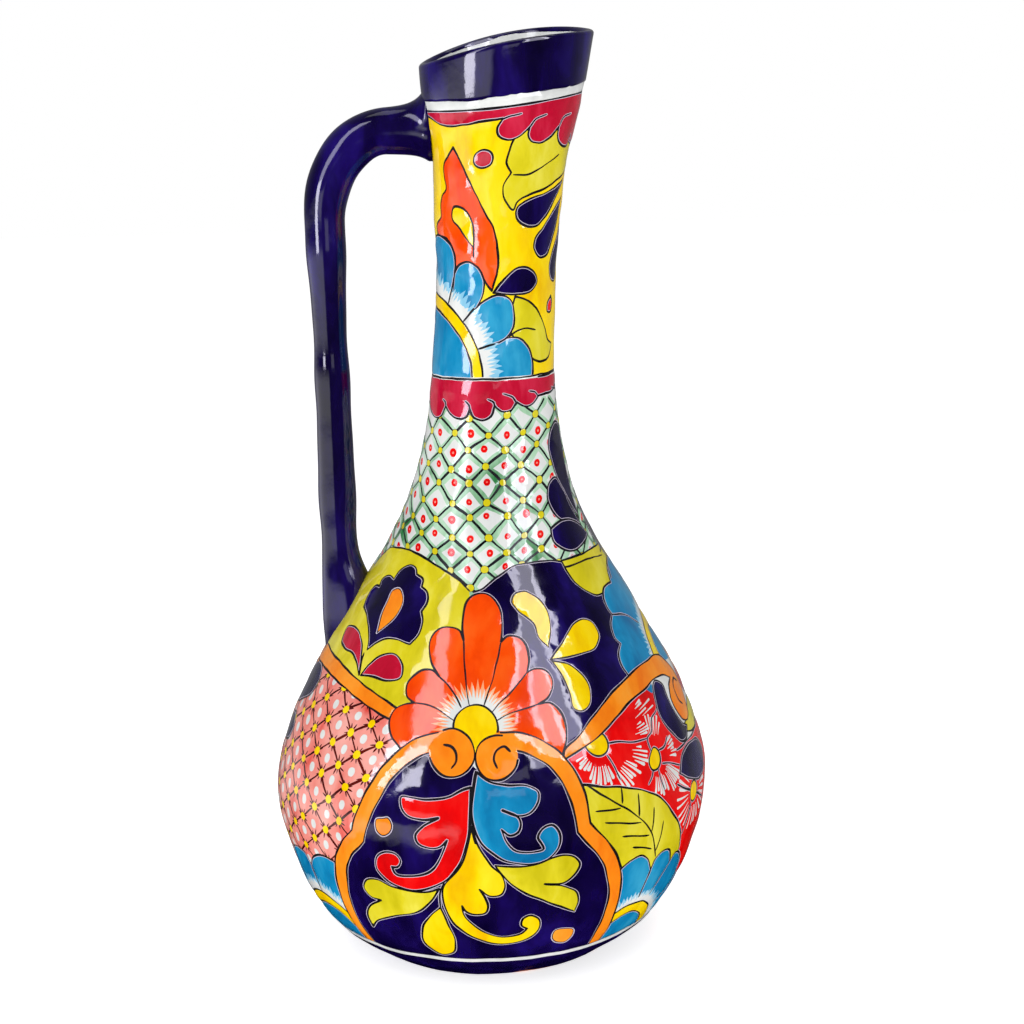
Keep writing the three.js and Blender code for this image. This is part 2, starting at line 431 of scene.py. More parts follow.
def free_points(drawn):
    """Rows of points that keep clear of the drawn ones, and the rise of each row."""
    cloud = tree_of(wall_points(drawn))
    rows = np.linspace(0.0, TOP, len(np.arange(1.0, TOP, GRID * 0.87)))
    free = []
    for k, s in enumerate(rows):
        count = round(FULL * radius_at(s) / GRID)
        u = SEAM + FULL * (np.arange(1, count) + 0.5 * (k % 2)) / count
        row = np.stack([u, np.full(len(u), rise_of(s))], 1)
        if 0 < k < len(rows) - 1:
            row = row + np.random.default_rng(k).uniform(-0.3, 0.3, row.shape) * GRID / radius_at(s)
            row = row[[cloud.find(p)[2] > CLEARANCE for p in wall_points(row)]]
        free.append(row)
    return np.vstack(free), rise_of(rows)


def triangulated(drawn, edges):
    """The plane as triangles that follow the drawn edges and the cut: (plane points, triangles)."""
    free, rises = free_points(drawn)
    left = np.stack([np.full(len(rises), SEAM), rises], 1)
    right = left + [FULL, 0]
    everything = np.vstack([drawn, free, left, right])
    first_left = len(drawn) + len(free)
    for first in (first_left, first_left + len(left)):
        k = first + np.arange(len(left) - 1)
        edges = np.vstack([edges, np.stack([k, k + 1], 1)])
    used = np.zeros(len(everything), bool)
    used[edges.ravel()] = True
    used[len(drawn):] = True
    joined = (np.cumsum(used) - 1)[edges].tolist()
    done = delaunay_2d_cdt([Vector(p) for p in everything[used]], joined, [], 0, 1e-5, False)
    plane = np.array([tuple(v) for v in done[0]])
    faces = np.array([f for f in done[2] if len(f) == 3])
    u, t = plane[faces].mean(1).T
    return plane, faces[(u > SEAM) & (u < SEAM + FULL) & (t > 0.0) & (t < rise_of(TOP))]


def colours_at(middle):
    """The colour that the last layer over each point leaves there."""
    colours = np.full(len(middle), WHITE)
    order, sorted_rise = sorted_by_rise(middle)
    for layer in layers:
        rows = level_with(layer["path"], order, sorted_rise, 0.06)
        if layer["half"] is None:
            colours[rows[inside(middle[rows], layer["path"])]] = layer["colour"]
            continue
        gap = gap_to(middle[rows], layer["path"], layer["closed"], layer["half"])
        colours[rows[gap < 0]] = layer["colour"]
        if layer["halo"]:
            rim = (gap >= 0) & (gap < layer["halo"] / radius_at(arc_of(middle[rows, 1])))
            rim &= np.isin(colours[rows], RIMMED)
            colours[rows[rim]] = RIM
    return colours


def painted_mesh():
    """The wall as triangles that follow every painted edge: (plane points, triangles, colour of each)."""
    plane, faces = triangulated(*drawn_edges())
    return plane, faces, colours_at(plane[faces].mean(1))


# ---------------------------------------------------------------- motifs

CART = (0, 60)
FLOWER = (0, 150)
LEFT = (-60, 135)
LEFT_LOW = (-60, 80)
RIGHT = (50, 150)
RIGHT_LOW = (60, 80)
NECK = (0, 320)
NET = (0, 230)
SIDE = (87, 80)            # on the mirror axis: drawn once


def within_half(spot, x, y):
    """Whether a local point is on the front half of the painting."""
    a = math.radians(spot[0]) + x / radius_at(spot[1] + y)
    return SEAM - 0.03 < a < AXIS + 0.03


def crossings(spot, origin, e1, e2, low, high, reach, jitter):
    """Where the lines of a trellis cross: {(i, j): (x, y)} for the crossings in a region."""
    found = {}
    for i in range(-reach, reach):
        for j in range(-reach, reach):
            x = origin[0] + i * e1[0] + j * e2[0] + random.uniform(-jitter, jitter)
            y = origin[1] + i * e1[1] + j * e2[1] + random.uniform(-jitter, jitter)
            if low <= y <= high and within_half(spot, x, y):
                found[i, j] = (x, y)
    return found


def runs(found, di, dj):
    """The trellis lines in one direction, as lists of crossings."""
    for i, j in sorted(found):
        if (i - di, j - dj) in found:
            continue
        run = []
        while (i, j) in found:
            run.append(found[i, j])
            i, j = i + di, j + dj
        if len(run) > 1:
            yield run


def extended(run):
    """A line run on by most of a cell at both ends."""
    (x0, y0), (x1, y1) = run[0], run[1]
    (x2, y2), (x3, y3) = run[-2], run[-1]
    return [(x0 - (x1 - x0) * 0.8, y0 - (y1 - y0) * 0.8), *run, (x3 + (x3 - x2) * 0.8, y3 + (y3 - y2) * 0.8)]


def dot(spot, centre, r, colour):
    """A spot of glaze with a dark edge."""
    fill(spot, oval(centre, r + 0.22), INK)
    fill(spot, oval(centre, r), colour)


def green_trellis():
    """White ground, a trellis of thin dark lines shaded with green brush strokes, yellow dots, and red dots
    with a painted highlight.
    """
    fill(NET, [(-150, -60, V), (110, -60, V), (60, 56, V), (-60, 56, V)], WHITE)
    e1, e2 = (7.7, 7.4), (7.9, -7.2)
    found = crossings(NET, (-2, 17.8), e1, e2, -50, 46, 26, 1.1)
    trellis = [extended(run) for d in ((1, 0), (0, 1)) for run in runs(found, *d)]
    shades = [[(x + 0.2, y - 0.5) for x, y in run] for run in trellis]
    lines(NET, shades, 1.9, colour=GREEN, halo=0, taper=0)
    lines(NET, trellis, 0.5, halo=0, taper=0)
    for (i, j), (x, y) in found.items():
        dot(NET, (x, y), random.uniform(1.4, 1.75), LIME)
        if (i + 1, j) in found and (i, j + 1) in found and (i + 1, j + 1) in found:
            cx = x + (e1[0] + e2[0]) / 2 + random.uniform(-0.6, 0.6)
            cy = y + (e1[1] + e2[1]) / 2 + random.uniform(-0.6, 0.6)
            r = random.uniform(1.35, 1.7)
            fill(NET, oval((cx, cy), r, r * 1.15), RED)
            # painted highlight: a salmon spot in the middle of each red dot stands for the glaze's glint
            fill(NET, oval((cx, cy), r * 0.3), SALMON)


def salmon_trellis():
    """Salmon ground with dark trellis lines, eight rays round each yellow dot and white ovals between."""
    fill(LEFT, [(-62, -112, V), (-62, 22, V), (60, 22, V), (60, -78, V), (-20, -78, V), (-30, -112, V)],
        SALMON)
    e1, e2 = (8.0, -8.3), (8.8, 6.0)
    found = crossings(LEFT, (16, -26.2), e1, e2, -106, 14, 16, 0.4)
    found = {k: (x, y) for k, (x, y) in found.items() if x < 52 and (y > -72 or x < -22)}
    trellis = [extended(run) for d in ((1, 0), (0, 1)) for run in runs(found, *d)]
    lines(LEFT, trellis, 0.48, colour=BROWN, halo=0, taper=0)
    for x, y in found.values():
        for k in range(8):
            a = math.radians(22 + 45 * k + random.uniform(-9, 9))
            ray = [(x, y), polar((x, y), a, random.uniform(2.9, 4.5))]
            line(LEFT, ray, 0.31, BROWN, 0, taper=0.6)
        middle = x + (e1[0] + e2[0]) / 2, y + (e1[1] + e2[1]) / 2
        fill(LEFT, oval(middle, 1.8, 2.15), WHITE)
    for x, y in found.values():
        fill(LEFT, oval((x, y), 1.8), YELLOW)


def red_flowers():
    """Red ground with three daisies: yellow hearts, white brush strokes and dark partings."""
    fill(RIGHT, [(-56, -30, V), (-46, -20, V), (56, 6, V), (64, -30, V), (64, -128, V), (20, -128, V),
        (-10, -96, V), (-30, -96, V)], RED)
    first, second = (-30.5, -26), (-2.3, -38)
    for petal in [   # heart, reach, angles from and to, strokes, and their half-width where it differs
        (first, (8, 13), 200, 236, 5), (first, (9, 16), 238, 286, 8), (first, (13, 22), 289, 326, 7),
        (first, (18, 25), 328, 348, 5), (first, (22, 30), -2, 12, 5, 0.42),
        (first, (27, 37), 12, 25, 5, 0.42), (second, (11, 18), 48, 86, 6, 0.42),
        (second, (11, 17), -12, 24, 6), (second, (9, 19), 298, 330, 7), (second, (8, 15), 250, 292, 6),
    ]:
        spokes(RIGHT, *petal)
    partings = [
        [(-25, -26), (-20, -26.6), (-10, -28.4), (-3, -28.5)], [(-27.4, -30.6), (-25.6, -35), (-24, -41.5)],
        [(2.5, -35.6), (6, -35.2), (11, -32)], [(2.4, -41.6), (9, -43.4), (15, -45.5)],
        [(-3, -34), (-3, -28.5), (1.5, -26.3), (4, -22), (9, -19.6), (11, -17.6)],
        [(-4.6, -42), (-6.5, -44.4), (-10, -47)], [(-1.6, -43), (-1.4, -47.5), (0, -52)],
    ]
    lines(RIGHT, partings, 0.3)
    shape(RIGHT, oval((-30.3, -25), 5.2), YELLOW)
    shape(RIGHT, [(-5.6, -42), (-1.8, -42.6), (1.6, -40), (2, -35.6), (-0.4, -33.4), (-3.4, -35.2),
        (-6.4, -39)], YELLOW)
    # the third daisy, low on the side
    spokes(RIGHT_LOW, (9, 9.4), (7, 16), 0, 360, 26)
    lines(RIGHT_LOW, [[(9, 14), (12, 24)], [(5, 11), (-6, 17)], [(6, 5), (0, -8)], [(13, 7), (24, 2)]])
    shape(RIGHT_LOW, oval((9, 9.4), 4, 4.6), YELLOW)


def left_panel():
    """The seam's cobalt petals, the lime panel with its lobed leaf, and the orange stripe under it."""
    upper = [(-50, -1, V), (-46, 8), (-38, 12.5), (-27, 14), (-18, 12), (-15, 7.5), (-17, 2), (-25, -3),
        (-38, -8), (-46, -8)]
    lower = [(-50, -20, V), (-46, -15), (-38, -12.8), (-29, -12), (-24.5, -16), (-27, -21.5), (-38, -25.5),
        (-46, -25.5)]
    shape(LEFT, upper, COBALT)
    shape(LEFT, lower, COBALT)
    top = [(-80, 46), (-67.5, 53.5), (-58.8, 57.3), (-48.8, 59.5), (-38.8, 59.8), (-28.8, 57.3), (-20, 53),
        (-12.5, 48.5), (-8.8, 44.8)]
    edged(FLOWER, top, [(-8, 0), (-40, -9), (-55, -5), (-75, 0), (-132, 2), (-92, 46)], LIME)
    leaf = [(12.4, 29, V), (15, 32), (19, 35), (25, 36.2), (33, 35.3, V), (34.7, 40), (33.6, 45),
        (30.4, 49.8, V), (31.2, 53), (29, 57.4), (24.4, 60, V), (23, 63.4), (18.6, 65.4, V), (16.6, 67.6),
        (13.4, 68.6), (9.8, 67.2), (7.2, 64.2), (6.4, 61, V), (3, 61.8), (-0.8, 61), (-2.4, 58.8),
        (-1.6, 56, V), (-5, 55.6), (-7.8, 53.2), (-8.4, 49.4), (-7.2, 45.2, V), (-2, 43.8), (3, 41), (7, 37),
        (10.2, 32.6)]
    shape(LEFT, leaf, COBALT)
    shape(LEFT, [(13, 37, V), (16.7, 41.6), (18.9, 49.3), (16.7, 54.9), (12.2, 57.7), (8.9, 56), (9.4, 51.6),
        (10.6, 43.8)], GOLD, halo=0.4, half=0.24)
    shape(LEFT, [(14.4, 18.2, V), (11, 24.9), (5.6, 31.6), (-1, 35.4), (-8.9, 35.7), (-13.9, 33.8),
        (-12.2, 28.2), (-5.6, 26.2), (3.3, 25.4), (10, 22)], RASPBERRY)
    shape(LEFT, [(15.6, 18.2, V), (17.8, 23.8), (22.2, 28.8), (26.7, 30.2), (32.2, 28.2), (36, 24.3),
        (37.2, 20.4), (32.2, 18.2), (24.4, 18.8)], RASPBERRY)
    line(LEFT, [(11.5, 27), (12.2, 24), (14.8, 18.2)], 0.4)
    band(LEFT, [(-52, 14), (-38, 16), (-25, 17.5), (-8, 17), (0, 15.8), (12, 13.8), (22, 11), (32, 8),
        (44, 5)], (4.0, 2.8), GOLD)


def right_panel():
    """The cobalt panel with its yellow petals, and the lime leaf beside it."""
    top = [(-7, 44.4), (-3.8, 45.4), (2.5, 50.4), (10, 54.8), (18.8, 56), (31.3, 54.5), (34, 53.5)]
    edged(FLOWER, top, [(80, 54), (100, 0), (62, -6), (30, -28), (10, -20), (-8, 0)], COBALT)
    petal = [(8.8, 39.8), (10.5, 43.2), (13.8, 43.8), (17.5, 42), (23.8, 34.8), (26, 27.3), (25, 18.8, V),
        (21, 23), (18.8, 28.5), (11.3, 36)]
    shape(FLOWER, petal, YELLOW, half=0.3)
    shape(FLOWER, [(25.6, 12.9, V), (32.5, 21), (37.5, 26.6), (43, 27.5), (48.8, 24), (50.4, 19), (48, 14.8),
        (41.3, 13.5), (32.5, 12.9)], YELLOW, half=0.3)
    shape(FLOWER, [(26.3, 12.3, V), (33.8, 9.8), (40, 4.8), (43.8, -1.5), (43.5, -7.8), (40, -10.3),
        (35.6, -9), (33.8, -2.8), (31.3, 4.8)], YELLOW, half=0.3)
    leaf = [(40, 52), (28.9, 54.9), (10, 55.3), (-2.2, 55), (-9.4, 54.5, V), (-8.3, 49.3), (-6.7, 43.8),
        (-2.2, 38.8), (2.2, 36), (10, 36)]
    edged(RIGHT, leaf, [(20, 30), (46, 30)], LIME)
    line(RIGHT, [(-8.9, 51.6), (8.9, 52), (23, 50.4)], 0.4)


def side_flower():
    """The turquoise flower on the mirror axis."""
    heart = (49, 0)
    petals = [(0, -1.8), (-1.7, 2.7), (0, 9.3), (3.9, 12.7, V), (2.2, 14.9), (2.8, 20.4), (7.2, 26, V),
        (5.8, 29.5), (6.4, 34.5), (10, 38), (14, 38.8), (18, 38.4, V), (20.5, 43), (26, 46.3), (33, 47),
        (42, 45.5), (50, 40, V)]
    edged(RIGHT, petals, [(52, 0), (40, -12), (10, -12)], TURQUOISE)
    fringe(RIGHT, heart, 19, 26, 0, 180, 36, twice=False, depth=0.5)
    line(RIGHT, [(7.2, 26), (17.8, 22.7), (29, 16)], 0.36)
    shape(RIGHT, oval(heart, 22, 17), YELLOW, twice=False)
    shape(RIGHT, oval(heart, 14, 9.5), TURQUOISE, twice=False)


def side_stripe():
    """White ground, the lime patch, two cobalt petals, and the orange stripe with the scroll it ends in."""
    fill(RIGHT, [(13, -5, V), (35, -5, V), (60, -8, V), (62, -38, V), (36, -39, V), (30, -39, V),
        (24, -38, V), (17, -28, V), (14.5, -16, V)], WHITE)
    shape(SIDE, [(-30, 36), (-18, 40), (-7, 42), (7, 42), (18, 40), (30, 36), (20, 32.5), (0, 31.5),
        (-20, 32.5)], LIME, twice=False)
    line(SIDE, [(-44, 30.8), (-20, 31.4), (0, 31), (20, 31.4), (44, 30.8)], twice=False)
    shape(RIGHT, [(17.8, -8.4), (22.8, -11.8), (22.8, -17.3), (24.4, -25), (28.9, -30.7), (34.4, -33.4, V),
        (28.9, -37.9), (22.2, -37.3), (15.6, -31.8), (11, -24), (11, -16.2), (13.3, -10.7)], COBALT)
    shape(RIGHT, [(14, -49, V), (18, -43), (26, -40.5), (36, -41), (46, -44), (53, -50), (48, -56),
        (38, -58), (28, -56), (20, -52.5)], COBALT)
    shape(RIGHT, [(-46.5, -29, V), (-45.6, -26), (-37.8, -20.7), (-26.7, -13.4), (-15.6, -7.3), (-4.4, -2.9),
        (6.7, 0), (17.8, 1.2), (28.9, 0.4), (36.7, -2.9), (43.3, -7.8), (48, -14), (49, -22), (45, -29),
        (38, -31.8), (31, -29.5), (26.5, -24.5), (25.6, -19), (28.5, -14.5), (35, -11.8, V), (26.7, -8.4),
        (17.8, -7.6), (6.7, -9), (-4.4, -11.8), (-15.6, -16.2), (-26.7, -21.8), (-35.6, -25)], GOLD)
    line(RIGHT, [(45, -16), (40, -13.5), (34.5, -16.5), (34, -22), (38, -25)], 0.45)


def low_leaf():
    """The veined lime leaf beside the cartouche."""
    leaf = [(-58.7, 29.8, V), (-49.8, 27.2), (-39.8, 25), (-29.8, 21), (-20.9, 15.6), (-13, 7.8), (-6.4, 0),
        (-0.9, -8.9), (1.9, -15.6), (-5, -24, V), (-25, -22, V), (-38.7, -13.3), (-45.3, -2.2), (-52, 5.6),
        (-57.8, 11), (-59.5, 18)]
    shape(RIGHT_LOW, leaf, LIME)
    veins = [
        [(-56.4, 28.9), (-48.7, 22.8), (-39.8, 15.6), (-33, 9.4), (-26.4, 1.7), (-23, -4.4), (-19.8, -11)],
        [(-42, 19), (-41, 25)],
        [(-34, 11.2), (-33.3, 20.5)],
        [(-26.4, 2.2), (-25, 12)],
        [(-21, -7.8), (-18.6, 4.4)],
        [(-55, 18), (-43, 17.2)],
        [(-51.4, 12.8), (-33, 8)],
        [(-42.6, 4.4), (-27.7, 1)],
        [(-36.4, -2.2), (-24.4, -5.8)],
    ]
    lines(RIGHT_LOW, veins, 0.4, halo=0.3, taper=0.5)


def half_flower(spot, edge, foot_point, heart, radii, partings):
    """A half flower on the foot line: turquoise petals, a white fringe, a yellow ring and its middle."""
    middle, ring, roots, tips = radii
    edged(spot, edge, [foot_point], TURQUOISE)
    fringe(spot, heart, roots, tips, 0, 180, 42, depth=0.35)
    lines(spot, partings, 0.45)
    shape(spot, oval(heart, ring), YELLOW)
    shape(spot, oval(heart, middle), TURQUOISE)


def low_flowers():
    """The two turquoise half flowers beside the cartouche."""
    edge = [(-46, -20), (-42, -12), (-35.3, -8.3), (-30, -7.8), (-26, -9.8), (-20.9, -17.2, V),
        (-19.2, -12.2), (-15.3, -10.3), (-10.9, -11), (-5, -19, V), (-2, -16.7), (5.8, -20), (10.5, -26),
        (11, -32, V), (16, -33), (21, -40), (22, -50), (21, -58)]
    partings = [
        [(-20.9, -17.2), (-21.5, -24), (-22.5, -31)], [(-5, -19), (-9, -26), (-13, -33)],
        [(11, -32), (4, -38), (-2, -42)],
    ]
    half_flower(RIGHT_LOW, edge, (-46, -58), (-25, -57), (17.5, 23, 22, 27.6), partings)

    edge = [(-42, -58), (-45, -48), (-39, -38, V), (-38, -29), (-30, -22.5), (-21, -23.5, V), (-18.5, -16.5),
        (-12, -12), (-5.3, -10.6), (1, -11.5), (4.7, -16, V), (9, -11), (15.8, -7.8), (26, -7.8), (36, -12)]
    partings = [
        [(4.7, -16), (4.6, -24), (5, -30)], [(-21, -23.5), (-16, -29), (-12, -35)],
        [(-39, -38), (-28, -42), (-19, -46)],
    ]
    half_flower(LEFT_LOW, edge, (40, -58), (5, -55), (18.5, 24.5, 24, 30.4), partings)


def lobed(heart, radius, petals):
    """The edge of a half flower over its heart, with a corner between one petal and the next."""
    edge = []
    for i in range(4 * petals + 1):
        point = polar(heart, math.pi * i / (4 * petals), radius + (0, 4.2, 5.4, 4.2)[i % 4])
        edge.append((*point, V) if i % 4 == 0 else point)
    return edge


def side_motifs():
    """What stands on the mirror axis: a drop, a daisy, a half flower on the foot line and a cobalt petal."""
    shape(SIDE, [(0, 61, V), (4.4, 53), (4.8, 48.5), (0, 45.5), (-4.8, 48.5), (-4.4, 53)],
        RASPBERRY, twice=False)
    heart = (0, -6)
    for start in (92, 140, 188, 236):
        spokes(SIDE, heart, (7, 15), start, start + 34, 6)
        line(SIDE, [polar(heart, math.radians(start + 41), r) for r in (5, 16)], 0.3)
    shape(SIDE, oval(heart, 5, 4.6), YELLOW, twice=False)
    heart, petals = (0, -57), 5
    edged(SIDE, lobed(heart, 19.5, petals), [(-19, -60), (19, -60)], ORANGE, twice=False)
    fringe(SIDE, heart, 8, 13.6, 0, 180, 20, PEACH, twice=False)
    partings = [[polar(heart, math.pi * k / petals, r) for r in (19.5, 15, 11)] for k in range(1, petals)]
    lines(SIDE, partings, 0.34, twice=False)
    shape(SIDE, oval(heart, 8), YELLOW, twice=False)
    shape(SIDE, [(0, 117, V), (4.4, 125), (5.8, 135), (3.6, 144), (0, 148), (-3.6, 144), (-5.8, 135),
        (-4.4, 125)], COBALT, twice=False)


def big_flower():
    """The orange flower above the cartouche."""
    outline = [(-35, -29), (-38, -24), (-42.5, -19), (-43.7, -13), (-41, -8), (-36, -4.8), (-32, -4, V),
        (-35.6, -1.4), (-36, 2.5), (-33, 7), (-28, 10.2), (-24, 10), (-21.5, 8, V), (-25.4, 14), (-26.2, 20),
        (-24, 25.6), (-20, 28.4), (-16, 28.5), (-12.6, 27), (-10.9, 23.5, V), (-11.7, 29), (-11.3, 36),
        (-9.3, 41.2), (-5, 43.6), (0, 42.6), (3.4, 38.5), (4.8, 32), (4.5, 22.6, V), (7, 24.6), (11, 24.2),
        (15, 20.4), (16.2, 14.5), (15.4, 9, V), (18, 10.3), (22, 9.6), (25.5, 6), (26.2, 1), (23.8, -3.4),
        (20, -5.2, V), (25, -5.4), (28.6, -8.5), (31.2, -14), (31.8, -20), (30, -28)]
    edged(FLOWER, outline, [(0, -24), (-12, -24)], ORANGE)
    fringe(FLOWER, (-6, -12.5), 8, 15.6, -12, 192, 26, PEACH)
    partings = [
        [(-32, -4), (-26, -4.6), (-20, -7.6), (-15, -11)], [(-21.5, 8), (-18, 4.6), (-14.5, 0), (-12, -5)],
        [(-10.9, 23.5), (-10.4, 12), (-9.4, 2), (-8.6, -4)], [(4.5, 22.6), (2.6, 13), (0, 3), (-2.6, -4.6)],
        [(15.4, 9), (9, 1.6), (4, -3.6), (1, -7)], [(20, -5.2), (12, -6.8), (6, -9), (3, -10.6)],
    ]
    lines(FLOWER, partings, 0.34)
    drop = [(-6, -26, V), (-12, -20), (-15.4, -14), (-14, -9), (-10.2, -5), (-5.6, -4), (-1, -5.4),
        (2.5, -9.4), (3.4, -14.5), (-0.5, -20)]
    shape(FLOWER, drop, YELLOW)


def cartouche():
    """The lobed cobalt cartouche and its orange border, which ends in two scrolls."""
    border = [(-57, -36), (-62.5, -24), (-67.5, -12.5), (-70, 1.5), (-69.5, 12), (-65, 21), (-58.5, 28, V),
        (-57, 33), (-51, 46), (-42.5, 58), (-34, 65), (-25.6, 69.3), (-17, 71)]
    right = [(4, 71), (13.5, 69.6), (20.6, 66.3), (27, 61.6), (32.5, 55), (36.5, 46), (39.5, 32, V),
        (46, 24.5), (52.5, 13.5), (54.5, 0), (53, -13), (49, -26), (44.5, -36)]
    ground = [*border, (-6, 60, V), *right]
    fill(CART, ground, COBALT)
    band(CART, border, (2.8, 3.9), GOLD)
    band(CART, right, (3.7, 3.0), GOLD)
    left_disc, right_disc = (-15.7, 66.2), (2.7, 64.2)
    fill(CART, oval(left_disc, 9.3, 9.6), GOLD)
    fill(CART, oval(right_disc, 8.8, 9.4), GOLD)
    line(CART, oval(left_disc, 9.3, 9.6, 112, -165), taper=0)
    line(CART, oval(right_disc, 8.8, 9.4, 75, 350), taper=0)
    line(CART, [(-19, 69.6), (-16.2, 69.2), (-13.8, 66.3), (-13.6, 63.3), (-15.6, 60.4)], 0.45, halo=0.3)
    line(CART, [(8, 66.5), (5.6, 68.5), (2.6, 67.2), (1.2, 63.4), (2.6, 59.8)], 0.45, halo=0.3)


def cartouche_leaves():
    """The curling leaves, the drop and the two dots inside the cartouche."""
    red = [(-8, 52.4, V), (-8, 40.5), (-8.8, 31.8), (-12.5, 21.8), (-17.5, 14.3), (-25, 8.6), (-32.5, 6.1),
        (-40, 7.4), (-46.3, 11), (-49.4, 15.5), (-48.8, 20.5), (-45, 23.3), (-40, 22.8), (-38, 19.6),
        (-39.6, 16.6), (-41.6, 16.6, V), (-40.6, 14), (-33.8, 13), (-26.3, 15.5), (-21.3, 21.8),
        (-18, 30.5, V), (-21.3, 27.4), (-26.3, 26.8), (-30.6, 28.6), (-31.5, 31.8), (-28.8, 35.3),
        (-21.3, 39.9, V), (-28.8, 38.6), (-35, 39.9), (-38, 43.6), (-38, 46.8), (-33.8, 47.4), (-25, 47.4),
        (-16.3, 48.6), (-10, 51.8)]
    blue = [(-5.6, 58.6, V), (0, 54.3), (6.3, 53), (15, 52), (19.4, 49.3), (19.4, 45.5), (16.3, 41.8),
        (11.3, 40.8), (5, 43, V), (11.3, 39.9), (12.3, 36.8), (11.3, 33.6), (8, 32.4), (4.4, 35.3, V),
        (6.3, 30.5), (11.3, 25.5), (17.5, 24.3), (21.6, 25.5), (20.6, 28, V), (19.4, 30.5), (21.3, 34.6),
        (25, 35.4), (28, 31.8), (27.5, 25.5), (23.8, 21), (17.5, 19.3), (10, 20.5), (2.5, 24.3),
        (-3.8, 30.5), (-6.9, 39.3), (-7, 49.3)]
    yellow = [(-7.5, 36.8, V), (-5, 29.3), (0, 20.5), (5, 14.3), (5.8, 8.8), (3.8, 5.3), (0, 4.8),
        (-4.8, 8.6, V), (-2.5, 4.3), (-1.6, -0.8), (-3, -4.3), (-6.9, -4.8), (-10.6, -2.6), (-12, 0, V),
        (-11.3, -4.5), (-7.5, -10.8), (-1.3, -15.8), (6.3, -17.6), (12.5, -15.8), (14.5, -13.3, V),
        (12.3, -10.8), (13, -7.4), (16.3, -6), (19.4, -8.3), (20, -12), (18, -17), (12.5, -20.8), (5, -22.3),
        (-3.8, -20), (-12.5, -13.3), (-18, -4.5), (-20, 3), (-19.4, 10.5), (-13.8, 18), (-10, 25.5)]
    lime_left = [(-21.3, 8.6, V), (-25, 1.8), (-32.5, -5.8), (-42.5, -9.5), (-51, -14.5), (-54.4, -19.5, V),
        (-56.3, -13.3), (-55, -7), (-48.8, -2, V), (-53.8, -0.8), (-56.9, 4.3), (-55.6, 7.4), (-50, 9),
        (-42.5, 6.8), (-33.8, 5.8), (-25, 6.8)]
    lime_right = [(2, 20, V), (12.5, 18.6), (20, 19.3), (25, 21), (30, 21.8), (35, 20.5), (37, 17.4),
        (35.6, 13), (31, 9), (22.5, 9.9, V), (31, 6.8), (35.6, 3), (36.9, -2), (35.6, -7.6, V), (28.8, -3.3),
        (20, 2.4), (11.3, 7.4), (5, 15)]
    drop = [(-21.3, -0.8, V), (-18, -9.5), (-15.3, -22), (-16.3, -28.3), (-21.3, -31.8), (-26.3, -28.3),
        (-30, -22), (-29.4, -13.3), (-25.6, -5.8)]
    for outline, colour in (
        (lime_left, LIME), (lime_right, LIME), (yellow, YELLOW), (drop, YELLOW), (red, RED),
        (blue, TURQUOISE),
    ):
        shape(CART, outline, colour)
    line(CART, [(-6, 59), (-7.4, 50), (-7.6, 38), (-6, 30)], 0.5)
    line(CART, [(-19.5, 12), (-21.3, 5), (-21.3, -1)], 0.4)
    shape(CART, [(-48.8, 32), (-46, 30.4), (-43, 32), (-42, 35.4), (-44, 38.2), (-46, 37.6), (-49, 36.6)],
        GOLD, half=0.24, halo=0.4)
    shape(CART, [(25.6, -22), (27, -25), (31, -26), (34.4, -22.6), (34.6, -18.4), (31, -17.4), (27, -18)],
        GOLD, half=0.24, halo=0.4)


def net_petals():
    """Cobalt petals over the trellis, on the side opposite the handle."""
    shape(NET, [(49, -10, V), (40, 1), (34, 9), (30, 17), (28, 25), (30.5, 31.5), (35.5, 34), (40, 32),
        (42.5, 25), (44.5, 12), (47, 0)], COBALT)
    shape(NET, [(50, -13, V), (43, -4), (36.5, 6), (31.3, 10.6), (27.5, 8.4), (26.3, 3.3), (28.5, -3),
        (33.6, -7.8), (41, -10.8)], COBALT)
    shape(NET, [(27.4, -10.6, V), (33.6, -8.3), (41.3, -9.4), (50, -13.5), (56, -18, V), (49, -20.6),
        (35.8, -21.7), (29, -16.7)], COBALT)


def neck():
    """Yellow ground, the orange flame leaf with its yellow heart, a cobalt petal and the low lime leaf."""
    fill(NECK, [(-50, -36, V), (60, -36, V), (90, 84, V), (-90, 84, V)], YELLOW)
    flame = [(-21.4, 62, V), (-17, 55.3), (-12, 46.5), (-5.8, 35.3), (-1.4, 27.8), (0.5, 19), (0.4, 9),
        (-1.6, 2.4, V), (-4.5, 6.5), (-8.3, 12.8), (-13.3, 14), (-18.3, 11.5, V), (-19.5, 17.8), (-24.5, 24),
        (-33.3, 26.5), (-34.4, 29), (-29.4, 33.5), (-29.8, 37.8), (-28.9, 41.5), (-25.8, 44.6), (-27, 50.3),
        (-27, 55.3), (-24.5, 58.4)]
    shape(NECK, flame, ORANGE)
    shape(NECK, [(-20.8, 37), (-15.8, 36.8), (-12, 32.8), (-10, 25.3), (-9.8, 20.3, V), (-13.3, 24),
        (-17.6, 29), (-21.4, 32.8)], YELLOW)
    line(NECK, [(-9.9, 20.6), (-9.6, 16.4)], 0.4)
    shape(NECK, [(-0.8, 1.5, V), (4.3, 7.8), (8, 10.9), (12.4, 11.8), (17.4, 9), (19, 5.3), (16, 1.5),
        (8, 0.5)], COBALT)
    leaf = [(8.6, -0.4, V), (14.3, -2.3), (20.5, -7.3), (25.5, -14.8), (28, -19.8), (32.6, -22.3, V),
        (29.3, -27.3), (23, -28.9), (18, -27.3), (12, -22), (6, -12)]
    shape(NECK, leaf, LIME)
    line(NECK, [(6.6, -17), (11, -14.6), (15, -14.2), (19.4, -15)], 0.36)


